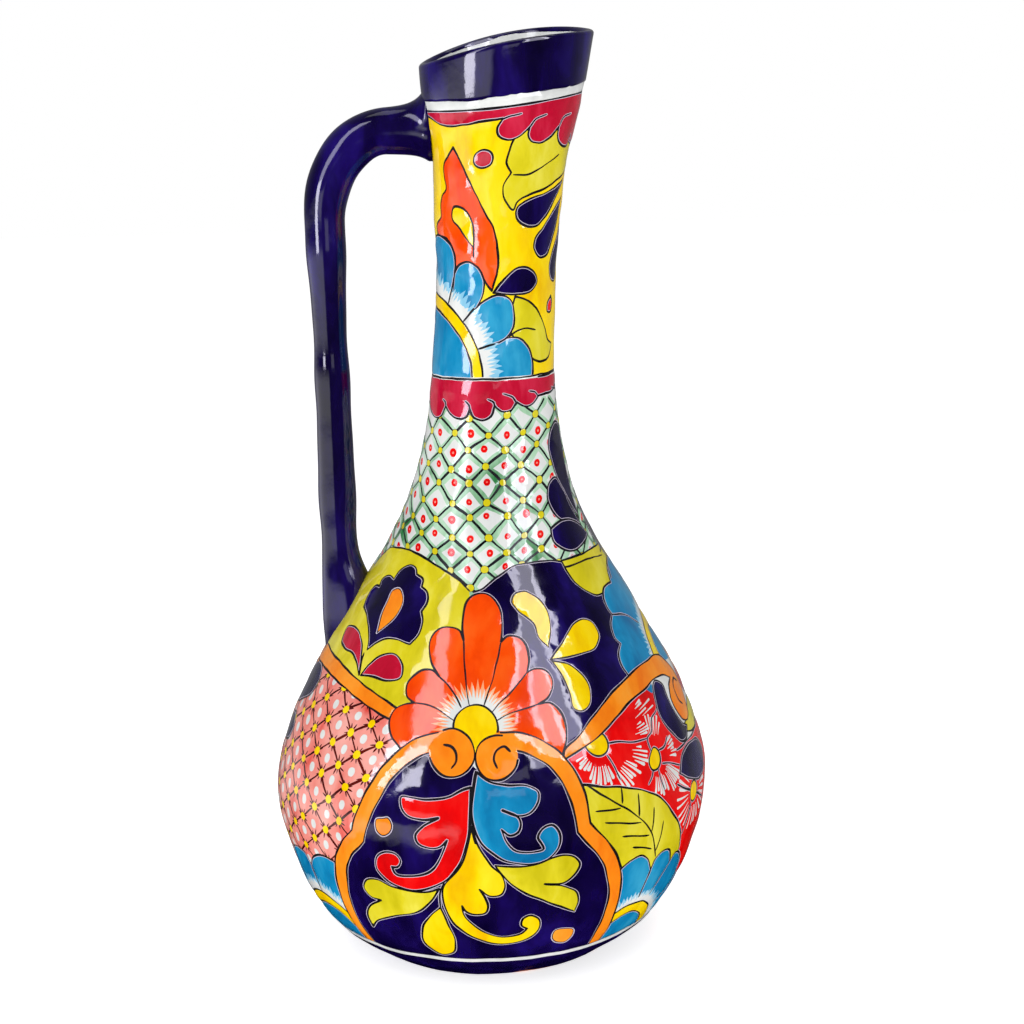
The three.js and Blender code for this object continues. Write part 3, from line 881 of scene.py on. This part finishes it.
def neck_flower():
    """The turquoise half flower that faces the handle, and the neck's two red dots."""
    rose = (-42, -35)
    petals = [
        [(17.8, -38), (18, -34), (17.8, -28.5), (15.5, -22.3), (11.8, -18.5), (6.8, -17.5), (0.5, -19.8),
         (-9, -28), (-9, -38)],
        [(-9.5, -6.6), (-3.3, -1), (1.8, 0.5), (6, -1), (8.4, -7.3), (8, -13.5), (4.9, -17.9),
         (0.5, -19.8), (-7, -20.6), (-14, -16)],
        [(-19.5, 9), (-16.4, 13.4), (-12, 14.4), (-7.6, 12), (-5, 7), (-5, 2), (-9.5, -6.6), (-16, -10),
         (-21, -4)],
        [(-42, 22), (-34.5, 25.3), (-27, 24.3), (-21.4, 20.3), (-18.9, 12.8), (-19.5, 7.8), (-24, -6),
         (-42, -4)],
    ]
    for petal in petals:
        shape(NECK, petal, TURQUOISE)
    fringe(NECK, rose, 36, 43.4, 0, 180, 60, twice=False, depth=0.35)
    partings = [
        [(-9, -5), (-14, -10.5)], [(0.5, -19.8), (-6.5, -22)], [(-19.5, 8), (-23, -3)],
        [(-42, 20), (-42, 4)],
    ]
    lines(NECK, partings, 0.45, halo=0.25)
    shape(NECK, oval(rose, 37.5, 36), YELLOW, twice=False)
    shape(NECK, oval(rose, 33, 30), TURQUOISE, twice=False)
    shape(NECK, oval((-7, 56.8), 4.1, 3.8), RASPBERRY)
    shape(NECK, [(30.5, -1.5, V), (32, -5), (30.5, -8.4), (27.4, -8), (27.3, -4.5)], RED)


def neck_fan():
    """The lime leaf under the collar, and the cobalt petals that spread from the side opposite the handle."""
    fan = [
        [(38, 47.8, V), (20.5, 41.5), (13, 39.6), (8, 35.9), (8, 32.8), (11.8, 29), (16.8, 28.4),
         (21.8, 31.5), (29, 39)],
        [(37, 40, V), (28, 34), (21.8, 27.8), (17.4, 23.4), (16.8, 19), (20.5, 15.3), (24.3, 15.9),
         (28, 21.5), (33, 30.3)],
        [(40.5, 32, V), (34.3, 24), (29.3, 16.5), (27.4, 10.3), (29.3, 5.9), (34.3, 4.6), (37.6, 10.3),
         (39.4, 20)],
    ]
    leaf = [(6, 66), (3.6, 59), (2.8, 55.3), (4.9, 50.9, V), (1.8, 45.3), (3, 39.6), (6.8, 35.5), (8, 38.5),
        (13, 41.4), (20.5, 43.6), (33, 48.4), (44, 52, V), (44, 70, V)]
    shape(NECK, leaf, LIME)
    line(NECK, [(6, 50), (11.8, 50), (20.5, 53.4), (29.3, 57.8)], 0.4)
    for petal in fan:
        shape(NECK, petal, COBALT)


def bands():
    """The raspberry bands under the collar and round the foot of the neck, with their lobed edges."""
    upper = [(-49, 76.3), (-42, 75.8), (-35, 73.5), (-29.5, 71.6), (-24, 70.6), (-15, 71.2), (-7, 72.2),
        (0.5, 73.2, V), (-1.5, 69.5), (-0.8, 66), (2.4, 64.3), (7, 65.4), (12, 69.6, V), (11.4, 66.5),
        (13, 63.6), (16.5, 62.8), (21.5, 64.6), (27.3, 69.4, V), (26.8, 66), (28.8, 62.6), (32.5, 61.2),
        (37, 61.6), (40.5, 66, V), (42, 63.5), (47, 62), (52, 63)]
    fill(NECK, [(*upper[0], V), *upper[1:-1], (*upper[-1], V), (60, 92, V), (-60, 92, V)], RASPBERRY)
    line(NECK, upper, taper=0)
    lower = [(-50, -46.5), (-43, -46), (-38, -46.6, V), (-35, -50), (-30, -52.2), (-25.5, -51.3),
        (-22.3, -46.6, V), (-19.5, -50), (-15, -51.6), (-11.5, -50.8), (-10, -47.6, V), (-8, -51),
        (-4, -52.1), (-0.6, -50.6), (0.9, -46.2, V), (4, -48.6), (8, -48.2), (10.4, -45, V), (14, -47),
        (18.5, -46.4), (21.6, -43.2, V), (27, -43), (33, -42.4), (38, -40.5, V), (43, -42), (50, -41)]
    fill(NECK, [(*lower[0], V), *lower[1:-1], (*lower[-1], V), (60, -35.5, V), (-60, -35.5, V)], RASPBERRY)
    line(NECK, lower, taper=0)
    curls = [
        [(0.3, 72.8), (3, 74), (8.3, 74.9)], [(12, 69.4), (14.6, 72.8), (19.8, 74.4)],
        [(27.3, 69.2), (30, 73), (36, 75)], [(-22.3, -46.8), (-22.6, -45), (-24.2, -44)],
        [(-10, -48), (-10.3, -45.8), (-12, -44.2)], [(0.9, -46.6), (0.4, -44.8), (-2, -43.4)],
        [(10.4, -45.4), (8.6, -42.8), (4.4, -41.2)], [(21.6, -43.6), (19.8, -41.6), (16.4, -40.8)],
    ]
    lines(NECK, curls, 0.32)
    line(NECK, [(-60, -35), (-20, -34.8), (10, -34.7), (35, -34), (60, -35.2)], taper=0)


def collar_foot(a):
    """Height of the painted collar's lower edge at an angle from the front."""
    return 373.8 + 3 * np.sin(a) - 2 * np.cos(a) - 0.7 * np.cos(2 * a)


def rings():
    """The white ground and black line under the collar, and the cobalt foot under its white line."""
    angles = np.linspace(SEAM - 0.2, SEAM + FULL + 0.2, 220)
    ends = angles[[-1, 0]]
    under = np.interp(collar_foot(angles) - 3.7, LEVELS, ARCS)
    path = np.stack([angles, rise_of(under)], 1)
    above = np.stack([ends, np.full(2, rise_of(TOP) + 0.2)], 1)
    add_layer(np.vstack([path, above]), WHITE)
    add_layer(path, INK, False, pen_widths(path, PEN) / radius_at(under), HALO)
    below = np.stack([ends, np.full(2, -0.2)], 1)
    for top, colour in ((FOOT_LINE + 2.8, INK), (FOOT_LINE + 2.2, WHITE), (FOOT_LINE, COBALT)):
        edge = rise_of(top + 0.25 * np.sin(3 * angles) + 0.15 * np.sin(7 * angles + 1))
        add_layer(np.vstack([np.stack([angles, edge], 1), below]), colour)


def paint():
    """Draws everything, each motif over the ones before it."""
    for motif in (
        neck, neck_flower, neck_fan, green_trellis, salmon_trellis, red_flowers, left_panel, right_panel,
        net_petals, side_flower, side_stripe, low_leaf, low_flowers, side_motifs, big_flower, cartouche,
        cartouche_leaves, bands, rings,
    ):
        motif()


# ---------------------------------------------------------------- materials


def rgb(*levels):
    """Linear colour of an sRGB one given in 0 to 255."""
    shares = [level / 255 for level in levels]
    return (*[c / 12.92 if c <= 0.04045 else ((c + 0.055) / 1.055) ** 2.4 for c in shares], 1)


def new_material(name):
    material = bpy.data.materials.new(name)
    material.use_nodes = True
    tree = material.node_tree
    return material, tree, tree.nodes["Principled BSDF"]


def set_inputs(node, values):
    for socket, value in values.items():
        node.inputs[socket].default_value = value


def add_noise(tree, scale, detail=2.0, roughness=0.5, stretch=(1, 1, 1), distortion=0.0):
    place = tree.nodes.new("ShaderNodeTexCoord")
    mapping = tree.nodes.new("ShaderNodeMapping")
    texture = tree.nodes.new("ShaderNodeTexNoise")
    set_inputs(mapping, {"Scale": stretch})
    set_inputs(texture, {"Scale": scale, "Detail": detail, "Roughness": roughness, "Distortion": distortion})
    tree.links.new(place.outputs["Object"], mapping.inputs["Vector"])
    tree.links.new(mapping.outputs["Vector"], texture.inputs["Vector"])
    return texture.outputs["Fac"]


def add_ramp(tree, factor, stops):
    ramp = tree.nodes.new("ShaderNodeValToRGB")
    elements = ramp.color_ramp.elements
    while len(elements) < len(stops):
        elements.new(0.5)
    for element, (position, colour) in zip(elements, stops):
        element.position = position
        element.color = colour
    tree.links.new(factor, ramp.inputs["Fac"])
    return ramp.outputs["Color"]


def add_range(tree, factor, low, high, start=0.3, end=0.7):
    """low where the factor is start, high where it is end."""
    node = tree.nodes.new("ShaderNodeMapRange")
    set_inputs(node, {"From Min": start, "From Max": end, "To Min": low, "To Max": high})
    tree.links.new(factor, node.inputs["Value"])
    return node.outputs["Result"]


def add_bump(tree, shader, reliefs):
    """Chains (height, strength, distance in metres) bumps into the shader's normal."""
    normal = None
    for height, strength, distance in reliefs:
        bump = tree.nodes.new("ShaderNodeBump")
        set_inputs(bump, {"Strength": strength, "Distance": distance})
        tree.links.new(height, bump.inputs["Height"])
        if normal:
            tree.links.new(normal, bump.inputs["Normal"])
        normal = bump.outputs["Normal"]
    tree.links.new(normal, shader.inputs["Normal"])


WAVES = 75.0    # noise scale of the glaze's slow waves, which the lines share
BRUSH_STREAKS = (1, 1, 0.35)


def glaze(name, deep, base, light):
    """Brushed, fired glaze: uneven colour where the brush left it thick or thin, and a wavy mirror."""
    material, tree, shader = new_material(name)
    strokes = add_noise(tree, 70, 4, 0.55, BRUSH_STREAKS, 0.4)
    colour = add_ramp(tree, strokes, [(0.28, deep), (0.5, base), (0.74, light)])
    tree.links.new(colour, shader.inputs["Base Color"])
    tree.links.new(add_range(tree, add_noise(tree, 160, 3), 0.05, 0.11), shader.inputs["Roughness"])
    set_inputs(shader, {"IOR": 1.5})
    add_bump(tree, shader, [(add_noise(tree, WAVES), 0.25, 0.0006), (add_noise(tree, 420), 0.25, 0.0001)])
    return material


def dry_line(name, colour, rough):
    """Wax-and-oxide line or bare rim: duller than the glaze, and finely grained."""
    material, tree, shader = new_material(name)
    set_inputs(shader, {"Base Color": colour, "IOR": 1.3})
    grain = add_noise(tree, 300, 3)
    tree.links.new(add_range(tree, grain, rough - 0.1, rough + 0.1), shader.inputs["Roughness"])
    add_bump(tree, shader, [(add_noise(tree, WAVES), 0.5, 0.0006), (add_noise(tree, 1500), 0.3, 0.00008)])
    return material


PALETTE = {   # name, and the glaze's colour where it is thick, even and thin
    COBALT: ("cobalt", (6, 1, 32), (15, 4, 60), (30, 14, 104)),
    YELLOW: ("yellow", (236, 178, 0), (252, 214, 0), (255, 228, 40)),
    LIME: ("lime", (198, 184, 14), (222, 208, 34), (236, 226, 84)),
    ORANGE: ("orange", (232, 52, 0), (250, 76, 2), (253, 102, 26)),
    GOLD: ("gold", (244, 120, 14), (254, 144, 26), (255, 168, 58)),
    RASPBERRY: ("raspberry", (160, 8, 34), (192, 16, 50), (216, 50, 82)),
    RED: ("red", (202, 2, 6), (238, 6, 8), (246, 40, 34)),
    TURQUOISE: ("turquoise", (8, 102, 156), (18, 138, 190), (58, 168, 210)),
    WHITE: ("white", (208, 210, 210), (226, 228, 226), (238, 239, 238)),
    SALMON: ("salmon", (226, 80, 70), (242, 146, 134), (248, 178, 168)),
    SKY: ("thin_turquoise", (104, 178, 216), (140, 200, 228), (190, 224, 238)),
    PEACH: ("thin_orange", (250, 132, 74), (252, 166, 116), (254, 200, 164)),
    GREEN: ("brushed_green", (48, 124, 66), (170, 212, 178), (220, 238, 224)),
    BROWN: ("brown_line", (48, 10, 12), (78, 16, 16), (112, 30, 24)),
}


def painting_materials():
    made = {}
    for key, (name, *shades) in PALETTE.items():
        made[key] = glaze(f"glaze_{name}", *[rgb(*s) for s in shades])
    made[INK] = dry_line("ink_line", rgb(16, 14, 20), 0.32)
    made[RIM] = dry_line("bare_rim", rgb(204, 194, 212), 0.22)
    return made


def clay_material():
    material, tree, shader = new_material("bare_terracotta")
    grain = add_noise(tree, 900, 6, 0.7)
    stops = [(0.3, rgb(146, 74, 42)), (0.52, rgb(184, 104, 64)), (0.75, rgb(206, 134, 92))]
    colour = add_ramp(tree, grain, stops)
    tree.links.new(colour, shader.inputs["Base Color"])
    tree.links.new(add_range(tree, grain, 0.75, 0.95), shader.inputs["Roughness"])
    add_bump(tree, shader, [(add_noise(tree, 1400, 5, 0.7), 0.6, 0.0002), (add_noise(tree, 90), 0.4, 0.0005)])
    return material


# ---------------------------------------------------------------- pieces


def make_piece(name, points, faces, material, replaced=(), normals=None):
    """A mesh from points in millimetres. normals are per point, or None for plain smooth shading."""
    mesh = bpy.data.meshes.new(name)
    mesh.from_pydata((np.asarray(points) * MM).tolist(), [], faces.tolist())
    mesh.update()
    mesh.polygons.foreach_set("use_smooth", np.ones(len(mesh.polygons), bool))
    mesh.materials.append(material)
    if normals is not None:
        mesh.normals_split_custom_set_from_vertices(normals.tolist())
    piece = bpy.data.objects.new(name, mesh)
    bpy.context.collection.objects.link(piece)
    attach(piece, "root")
    if replaced:
        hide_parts(*replaced)


def undulation(points, swing, length):
    """Slow hand-made unevenness at each point, in millimetres."""
    return np.array([noise.noise(Vector(p) / length) for p in points]) * swing


def normals_of(points, faces):
    corners = points[faces]
    across = np.cross(corners[:, 1] - corners[:, 0], corners[:, 2] - corners[:, 0])
    normals = np.zeros_like(points)
    for k in range(3):
        np.add.at(normals, faces[:, k], across)
    return normals / np.maximum(np.linalg.norm(normals, axis=1), 1e-9)[:, None]


GLAZE_DOME = 0.3         # the glaze stands this proud between the black lines
DOME_WIDTH = 1.6         # and rises to it over about this distance
COLLAR_OVERLAP = 0.6     # the wall runs on this far under the collar before it draws in
TUCKED_IN = 2.2


def wall_relief(plane, base, ink):
    """How far each point of the wall stands proud: domed between the ink, uneven, tucked under the collar."""
    lines_near = tree_of(base[ink])
    away = np.array([lines_near.find(p)[2] for p in base])
    proud = GLAZE_DOME * (1 - np.exp(-away / DOME_WIDTH))
    proud += undulation(base, 0.55, 26) + undulation(base, 0.3, 10)
    covered = np.clip((base[:, 2] - collar_foot(plane[:, 0]) - COLLAR_OVERLAP) / 2.0, 0, 1)
    return proud - TUCKED_IN * covered


def closed_seam(base, points, faces, colours):
    """Joins the points that meet where the plane was cut, and drops the faces that are left without area."""
    _, first, same = np.unique(np.round(base, 2), axis=0, return_index=True, return_inverse=True)
    faces = same.reshape(-1)[faces]
    sound = (faces[:, 0] != faces[:, 1]) & (faces[:, 1] != faces[:, 2]) & (faces[:, 2] != faces[:, 0])
    return points[first], faces[sound], colours[sound]


def glazed_wall(materials):
    """The painted wall, one piece per glaze, all cut from one surface so that highlights run across them."""
    plane, faces, colours = painted_mesh()
    base = wall_points(plane)
    points = wall_points(plane, wall_relief(plane, base, np.unique(faces[colours == INK])))
    points[:, 2] = np.maximum(points[:, 2], 0)
    points, faces, colours = closed_seam(base, points, faces, colours)
    normals = normals_of(points, faces)
    nodes = {COBALT: ["lower_bowl"], YELLOW: ["neck_tube"], WHITE: ["shoulder_cone"], LIME: ["upper_bowl"]}
    for colour in sorted(set(colours.tolist())):
        used, index = np.unique(faces[colours == colour], return_inverse=True)
        make_piece(materials[colour].name, points[used], index.reshape(-1, 3), materials[colour],
                   nodes.get(colour, ()), normals[used])


def sheet_of(rows):
    """Points and faces of a grid that closes round each row: rows is an array (rows, around, 3)."""
    height, around = rows.shape[:2]
    i, j = np.meshgrid(np.arange(height - 1), np.arange(around), indexing="ij")
    k = (j + 1) % around
    quads = np.stack([i * around + j, i * around + k, (i + 1) * around + k, (i + 1) * around + j], -1)
    return rows.reshape(-1, 3), quads.reshape(-1, 4)


AROUND = 256
ANGLES = np.arange(AROUND) * FULL / AROUND
LIP = 3.4            # thickness of the lip
LIP_PROUD = 1.05     # the lip's outside stands this far outside the profile
INSIDE_PAINT = 0.3   # the cobalt runs this far down the inside
THROAT = 14.0        # depth under the rim over which the lip thickens to the wall


def rim_height(a):
    """Height of the lip's edge at an angle from the front."""
    return 395.2 + 6 * np.sin(a) - 4 * np.cos(a) + 2 * np.cos(2 * a)


def on_circle(z, r):
    """A ring of points from a height and a radius at each of ANGLES."""
    return np.stack([lean(z) + r * np.sin(ANGLES), -r * np.cos(ANGLES), z], -1)


def collar(materials):
    """The cobalt collar: from its wavy lower edge up the outside, over the rounded lip and just inside."""
    foot, rim = collar_foot(ANGLES), rim_height(ANGLES)
    foot = foot + 0.2 * np.sin(5 * ANGLES) + 0.15 * np.sin(9 * ANGLES + 2)
    lip = rim - LIP / 2
    rows = []
    for v in np.concatenate([[0, 0.01, 0.025, 0.05], np.linspace(0.09, 1, 22)]):
        z = foot + (lip - foot) * v
        lift = 0.75 * min(1.0, v / 0.04) ** 0.5 - 0.3 + 0.6 * v
        rows.append(on_circle(z, profile_radius(z) + lift))
    for a in np.radians(np.linspace(0, 180, 13)[1:]):
        z = rim - LIP / 2 * (1 - math.sin(a))
        rows.append(on_circle(z, profile_radius(z) + LIP_PROUD - LIP / 2 * (1 - math.cos(a))))
    z = lip - INSIDE_PAINT + 0.2 * np.sin(7 * ANGLES)
    rows.append(on_circle(z, profile_radius(z) + LIP_PROUD - LIP))
    grid = np.stack(rows)
    wave = undulation(grid.reshape(-1, 3), 0.5, 24).reshape(grid.shape[:2])
    out = np.stack([np.sin(ANGLES), -np.cos(ANGLES), np.zeros(AROUND)], -1)
    points, faces = sheet_of(grid + wave[..., None] * out)
    make_piece("lip_collar_glaze", points, faces, materials[COBALT], ["lip_collar"])


def inner_glaze(materials):
    """The white glaze inside, from the lip to the floor."""
    rim = rim_height(ANGLES)
    rows = []
    for drop in np.linspace(LIP / 2 + INSIDE_PAINT - 0.5, THROAT, 6):
        z = rim - drop
        rows.append(on_circle(z, profile_radius(z) + 1.0 - LIP - (drop - LIP / 2) * 0.2))
    for level in np.concatenate([np.linspace(378, 30, 90), np.linspace(27, FLOOR_TOP + 1.2, 8)]):
        z = np.minimum(level, rim - THROAT - 0.01 * (HEIGHT - level))
        rows.append(on_circle(z, profile_radius(z) - WALL * np.hypot(1, slope_at(z))))
    wall_foot, middle = rows[-1], lean(FLOOR_TOP)
    for share in (0.97, 0.9, 0.7, 0.4, 0.1, 0.001):
        ring = wall_foot.copy()
        ring[:, 0] = middle + (wall_foot[:, 0] - middle) * share
        ring[:, 1] *= share
        ring[:, 2] = FLOOR_TOP + 0.6 * share ** 12
        rows.append(ring)
    points, faces = sheet_of(np.stack(rows))
    make_piece("inner_glaze", points, faces, materials[WHITE])


FOOT_SECTION = [   # radius and height, from the glaze's edge under the ring to the middle of the slab
    (57.2, 1.3), (56.6, 0.4), (55.6, 0), (51, 0), (46.2, 0), (45, 0.5), (44.2, 1.5), (40, 1.6), (25, 1.6),
    (10, 1.6), (0.01, 1.6),
]


def foot(material):
    """The unglazed foot ring and the slab of the base."""
    rows = []
    for r, z in FOOT_SECTION:
        wave = 1 + 0.004 * np.sin(3 * ANGLES) * (r > 40)
        rows.append(on_circle(np.full(AROUND, float(z)), r * wave))
    points, faces = sheet_of(np.stack(rows)[::-1])
    make_piece("foot_clay", points, faces, material, ["foot_ring", "base_slab"])


GRIP_X = -64.9
BOW_TOP = 359.6
BOW_START_X = -36.5
BOW_END = 322.0
PAD_X = -17.1            # the rod starts here, inside the neck's wall
WAD_END = 126            # and ends here, inside the shoulder's wall
HANDLE_TURN = math.radians(-3)
ROD = 8.2                # half the rod's thickness


def handle_stations():
    """Centre points and directions (x, z, dx, dz) along the handle, from the neck to the shoulder."""
    out = [(x, BOW_TOP, -1.0, 0.0) for x in np.linspace(PAD_X, BOW_START_X, 26)[:-1]]
    width, height = BOW_START_X - GRIP_X, BOW_TOP - BOW_END
    for a in np.linspace(0, math.pi / 2, 60)[:-1]:
        across, down = width * math.cos(a), height * math.sin(a)
        speed = math.hypot(across, down)
        place = BOW_START_X - width * math.sin(a), BOW_END + height * math.cos(a)
        out.append((*place, -across / speed, -down / speed))
    return out + [(GRIP_X, z, 0.0, -1.0) for z in np.linspace(BOW_END, WAD_END, 150)]


def rod_radius(x, z):
    """Half the rod's thickness: fuller at the bow, slimmer under it, and a little uneven from the hand."""
    bow = np.clip((z - 280) / 70, 0, 1)
    radius = ROD + 1.5 * (bow * bow * (3 - 2 * bow)) - 0.7 * math.exp(-((z - 268) / 38) ** 2)
    return radius + 0.25 * math.sin(z * 0.13) + 0.12 * math.sin(z * 0.23 + x * 0.2)


def handle(materials):
    """The rod, flared where it was pressed onto the collar and spread over the shoulder."""
    turns = np.arange(64) * FULL / 64
    outward, across = np.cos(turns), np.sin(turns)
    rows = []
    for x, z, dx, dz in handle_stations():
        from_neck = max(0.0, lean(z) - profile_radius(z) - x)
        pad = math.exp(-from_neck / 4.5) if z > BOW_TOP - 3 else 0.0
        wad = 1 / (1 + math.exp((z - 168) / 4))
        above, below = np.maximum(0, outward) ** 1.5, np.maximum(0, -outward) ** 1.5
        swell = 9 * pad * above + (3.5 * pad + 6 * wad) * below + (1.5 * pad + 2 * wad) * np.abs(across)
        half = rod_radius(x, z) + swell
        out, side = outward * half, across * (half * 0.98)
        px, pz = x + dz * out, z - dx * out
        cos, sin = math.cos(HANDLE_TURN), math.sin(HANDLE_TURN)
        rows.append(np.stack([px * cos - side * sin, px * sin + side * cos, pz], -1))
    points, faces = sheet_of(np.stack(rows))
    points = points + undulation(points, 0.35, 40)[:, None] * np.array([1, 1, 0.3])
    nodes = ["handle_upper_pad", "handle_bow", "handle_grip", "handle_lower_wad"]
    make_piece("handle_glaze", points, faces, materials[COBALT], nodes)


# ---------------------------------------------------------------- studio

DAYLIGHT = 0.4       # even light on the paint
SWEEP = 1.5          # brightness of the low sweep on the left


def math_node(tree, operation, *values):
    node = tree.nodes.new("ShaderNodeMath")
    node.operation = operation
    for socket, value in zip(node.inputs, values):
        if isinstance(value, float):
            socket.default_value = value
        else:
            tree.links.new(value, socket)
    return node.outputs[0]


def surroundings():
    """White to look at, even light on the paint, and a dark room with a low bright sweep in the glaze."""
    world = bpy.data.worlds.new("studio")
    bpy.context.scene.world = world
    world.use_nodes = True
    tree = world.node_tree
    place = tree.nodes.new("ShaderNodeTexCoord")
    axes = tree.nodes.new("ShaderNodeSeparateXYZ")
    tree.links.new(place.outputs["Generated"], axes.inputs[0])
    x, y, z = axes.outputs

    def times(a, b):
        return math_node(tree, "MULTIPLY", a, b)

    behind = add_range(tree, y, 0.03, 0.22, -0.2, 0.8)
    above_floor = add_range(tree, z, 0.0, 1.0, -0.45, -0.25)
    left = add_range(tree, x, SWEEP, 0.0, -0.3, -0.2)
    above = add_range(tree, z, 0.0, 1.0, -0.34, -0.24)
    below = add_range(tree, z, 1.0, 0.0, -0.12, -0.02)
    ahead = add_range(tree, y, 1.0, 0.0, 0.4, 0.8)
    sweep = times(times(left, above), times(below, ahead))
    mirrored = math_node(tree, "ADD", times(behind, above_floor), sweep)
    rays = tree.nodes.new("ShaderNodeLightPath")
    glossy = times(math_node(tree, "SUBTRACT", mirrored, DAYLIGHT), rays.outputs["Is Glossy Ray"])
    light = math_node(tree, "ADD", glossy, DAYLIGHT)
    level = math_node(tree, "MAXIMUM", light, rays.outputs["Is Camera Ray"])
    background = tree.nodes["Background"]
    tree.links.new(level, background.inputs["Strength"])
    set_inputs(background, {"Color": (1, 1, 1, 1)})


def softbox(name, place, target, width, height, power, mirrored=True, lighting=True):
    light = bpy.data.lights.new(name, "AREA")
    light.shape = "RECTANGLE"
    light.size, light.size_y = width, height
    light.energy = power
    lamp = bpy.data.objects.new(name, light)
    lamp.location = place
    lamp.rotation_euler = (Vector(target) - Vector(place)).to_track_quat("-Z", "Y").to_euler()
    lamp.visible_glossy = mirrored
    lamp.visible_diffuse = lighting
    bpy.context.collection.objects.link(lamp)
    return light


WINDOW_DISTANCE = 0.75
WINDOW_COLOUR = (0.87, 0.85, 1.0)
WINDOWS = {   # direction in degrees from the front, sides from its middle, bottom and top, brightness
    "left": (-43, (-0.13, 0.08), (0.43, 1.4), 6.0),
    "left_low": (-43, (-0.14, 0.05), (0.25, 0.43), 16.0),
    "front_low": (10, (-0.16, 0.1), (0.25, 0.4), 1.2),
    "right_near_jamb": (39, (-0.24, -0.15), (0.36, 2.2), 14.0),
    "right": (39, (-0.15, 0.15), (0.36, 2.2), 6.0),
    "right_far_jamb": (39, (0.15, 0.24), (0.36, 2.2), 16.0),
}


def window(name, degrees, sides, levels, brightness):
    """An upright pane of light that only shows mirrored in the glaze."""
    a = math.radians(degrees)
    towards = Vector((-math.sin(a), math.cos(a), 0))
    along = Vector((math.cos(a), math.sin(a), 0))
    place = along * (sum(sides) / 2) - towards * WINDOW_DISTANCE + Vector((0, 0, sum(levels) / 2))
    width, height = sides[1] - sides[0], levels[1] - levels[0]
    power = brightness * math.pi * width * height
    light = softbox(f"{name}_window", place, place + towards, width, height, power, lighting=False)
    light.color = WINDOW_COLOUR


FLOOR_HALF = 8.0
FLOOR_GLOW = 0.72    # lifts the floor to the photograph's white


def floor():
    corners = [(-1, -1), (1, -1), (1, 1), (-1, 1)]
    mesh = bpy.data.meshes.new("floor")
    mesh.from_pydata([(x * FLOOR_HALF, y * FLOOR_HALF, 0) for x, y in corners], [], [(0, 1, 2, 3)])
    ground = bpy.data.objects.new("floor", mesh)
    bpy.context.collection.objects.link(ground)
    material, tree, shader = new_material("pale_floor")
    tone = add_ramp(tree, add_noise(tree, 3), [(0.3, rgb(243, 243, 244)), (0.7, rgb(247, 247, 247))])
    tree.links.new(tone, shader.inputs["Base Color"])
    set_inputs(shader, {"Roughness": 0.9, "Specular IOR Level": 0.0})
    set_inputs(shader, {"Emission Color": (1, 1, 1, 1), "Emission Strength": FLOOR_GLOW})
    mesh.materials.append(material)
    ground.visible_glossy = False


def studio():
    bpy.context.scene.view_settings.view_transform = "Standard"
    floor()
    surroundings()
    softbox("key", (-0.55, -0.6, 0.8), (0, 0, 0.25), 0.5, 1.0, 4.0, mirrored=False)
    softbox("fill", (0.55, -0.7, 0.8), (0, 0, 0.25), 0.5, 1.0, 1.9, mirrored=False)
    softbox("top", (0.1, 0.1, 1.6), (0, 0, 0.2), 1.0, 1.0, 3.4)
    for name, pane in WINDOWS.items():
        window(name, *pane)


CAMERA_PLACE = (0.0124, -0.8, 0.35)
FOCAL_LENGTH = 64.65
PITCH = math.radians(11.12)
ROLL = math.radians(1.6)


def camera():
    data = bpy.data.cameras.new("camera")
    data.sensor_width = 36.0
    data.lens = FOCAL_LENGTH
    data.clip_start = 0.01
    lens = bpy.data.objects.new("camera", data)
    right = Vector((1, 0, 0))
    up = Vector((0, math.sin(PITCH), math.cos(PITCH)))
    ahead = Vector((0, math.cos(PITCH), -math.sin(PITCH)))
    x = right * math.cos(ROLL) - up * math.sin(ROLL)
    y = right * math.sin(ROLL) + up * math.cos(ROLL)
    lens.matrix_world = Matrix.Translation(CAMERA_PLACE) @ Matrix((x, y, -ahead)).transposed().to_4x4()
    bpy.context.collection.objects.link(lens)
    bpy.context.scene.camera = lens


paint()
MATERIALS = painting_materials()
glazed_wall(MATERIALS)
collar(MATERIALS)
inner_glaze(MATERIALS)
handle(MATERIALS)
foot(clay_material())
studio()
camera()
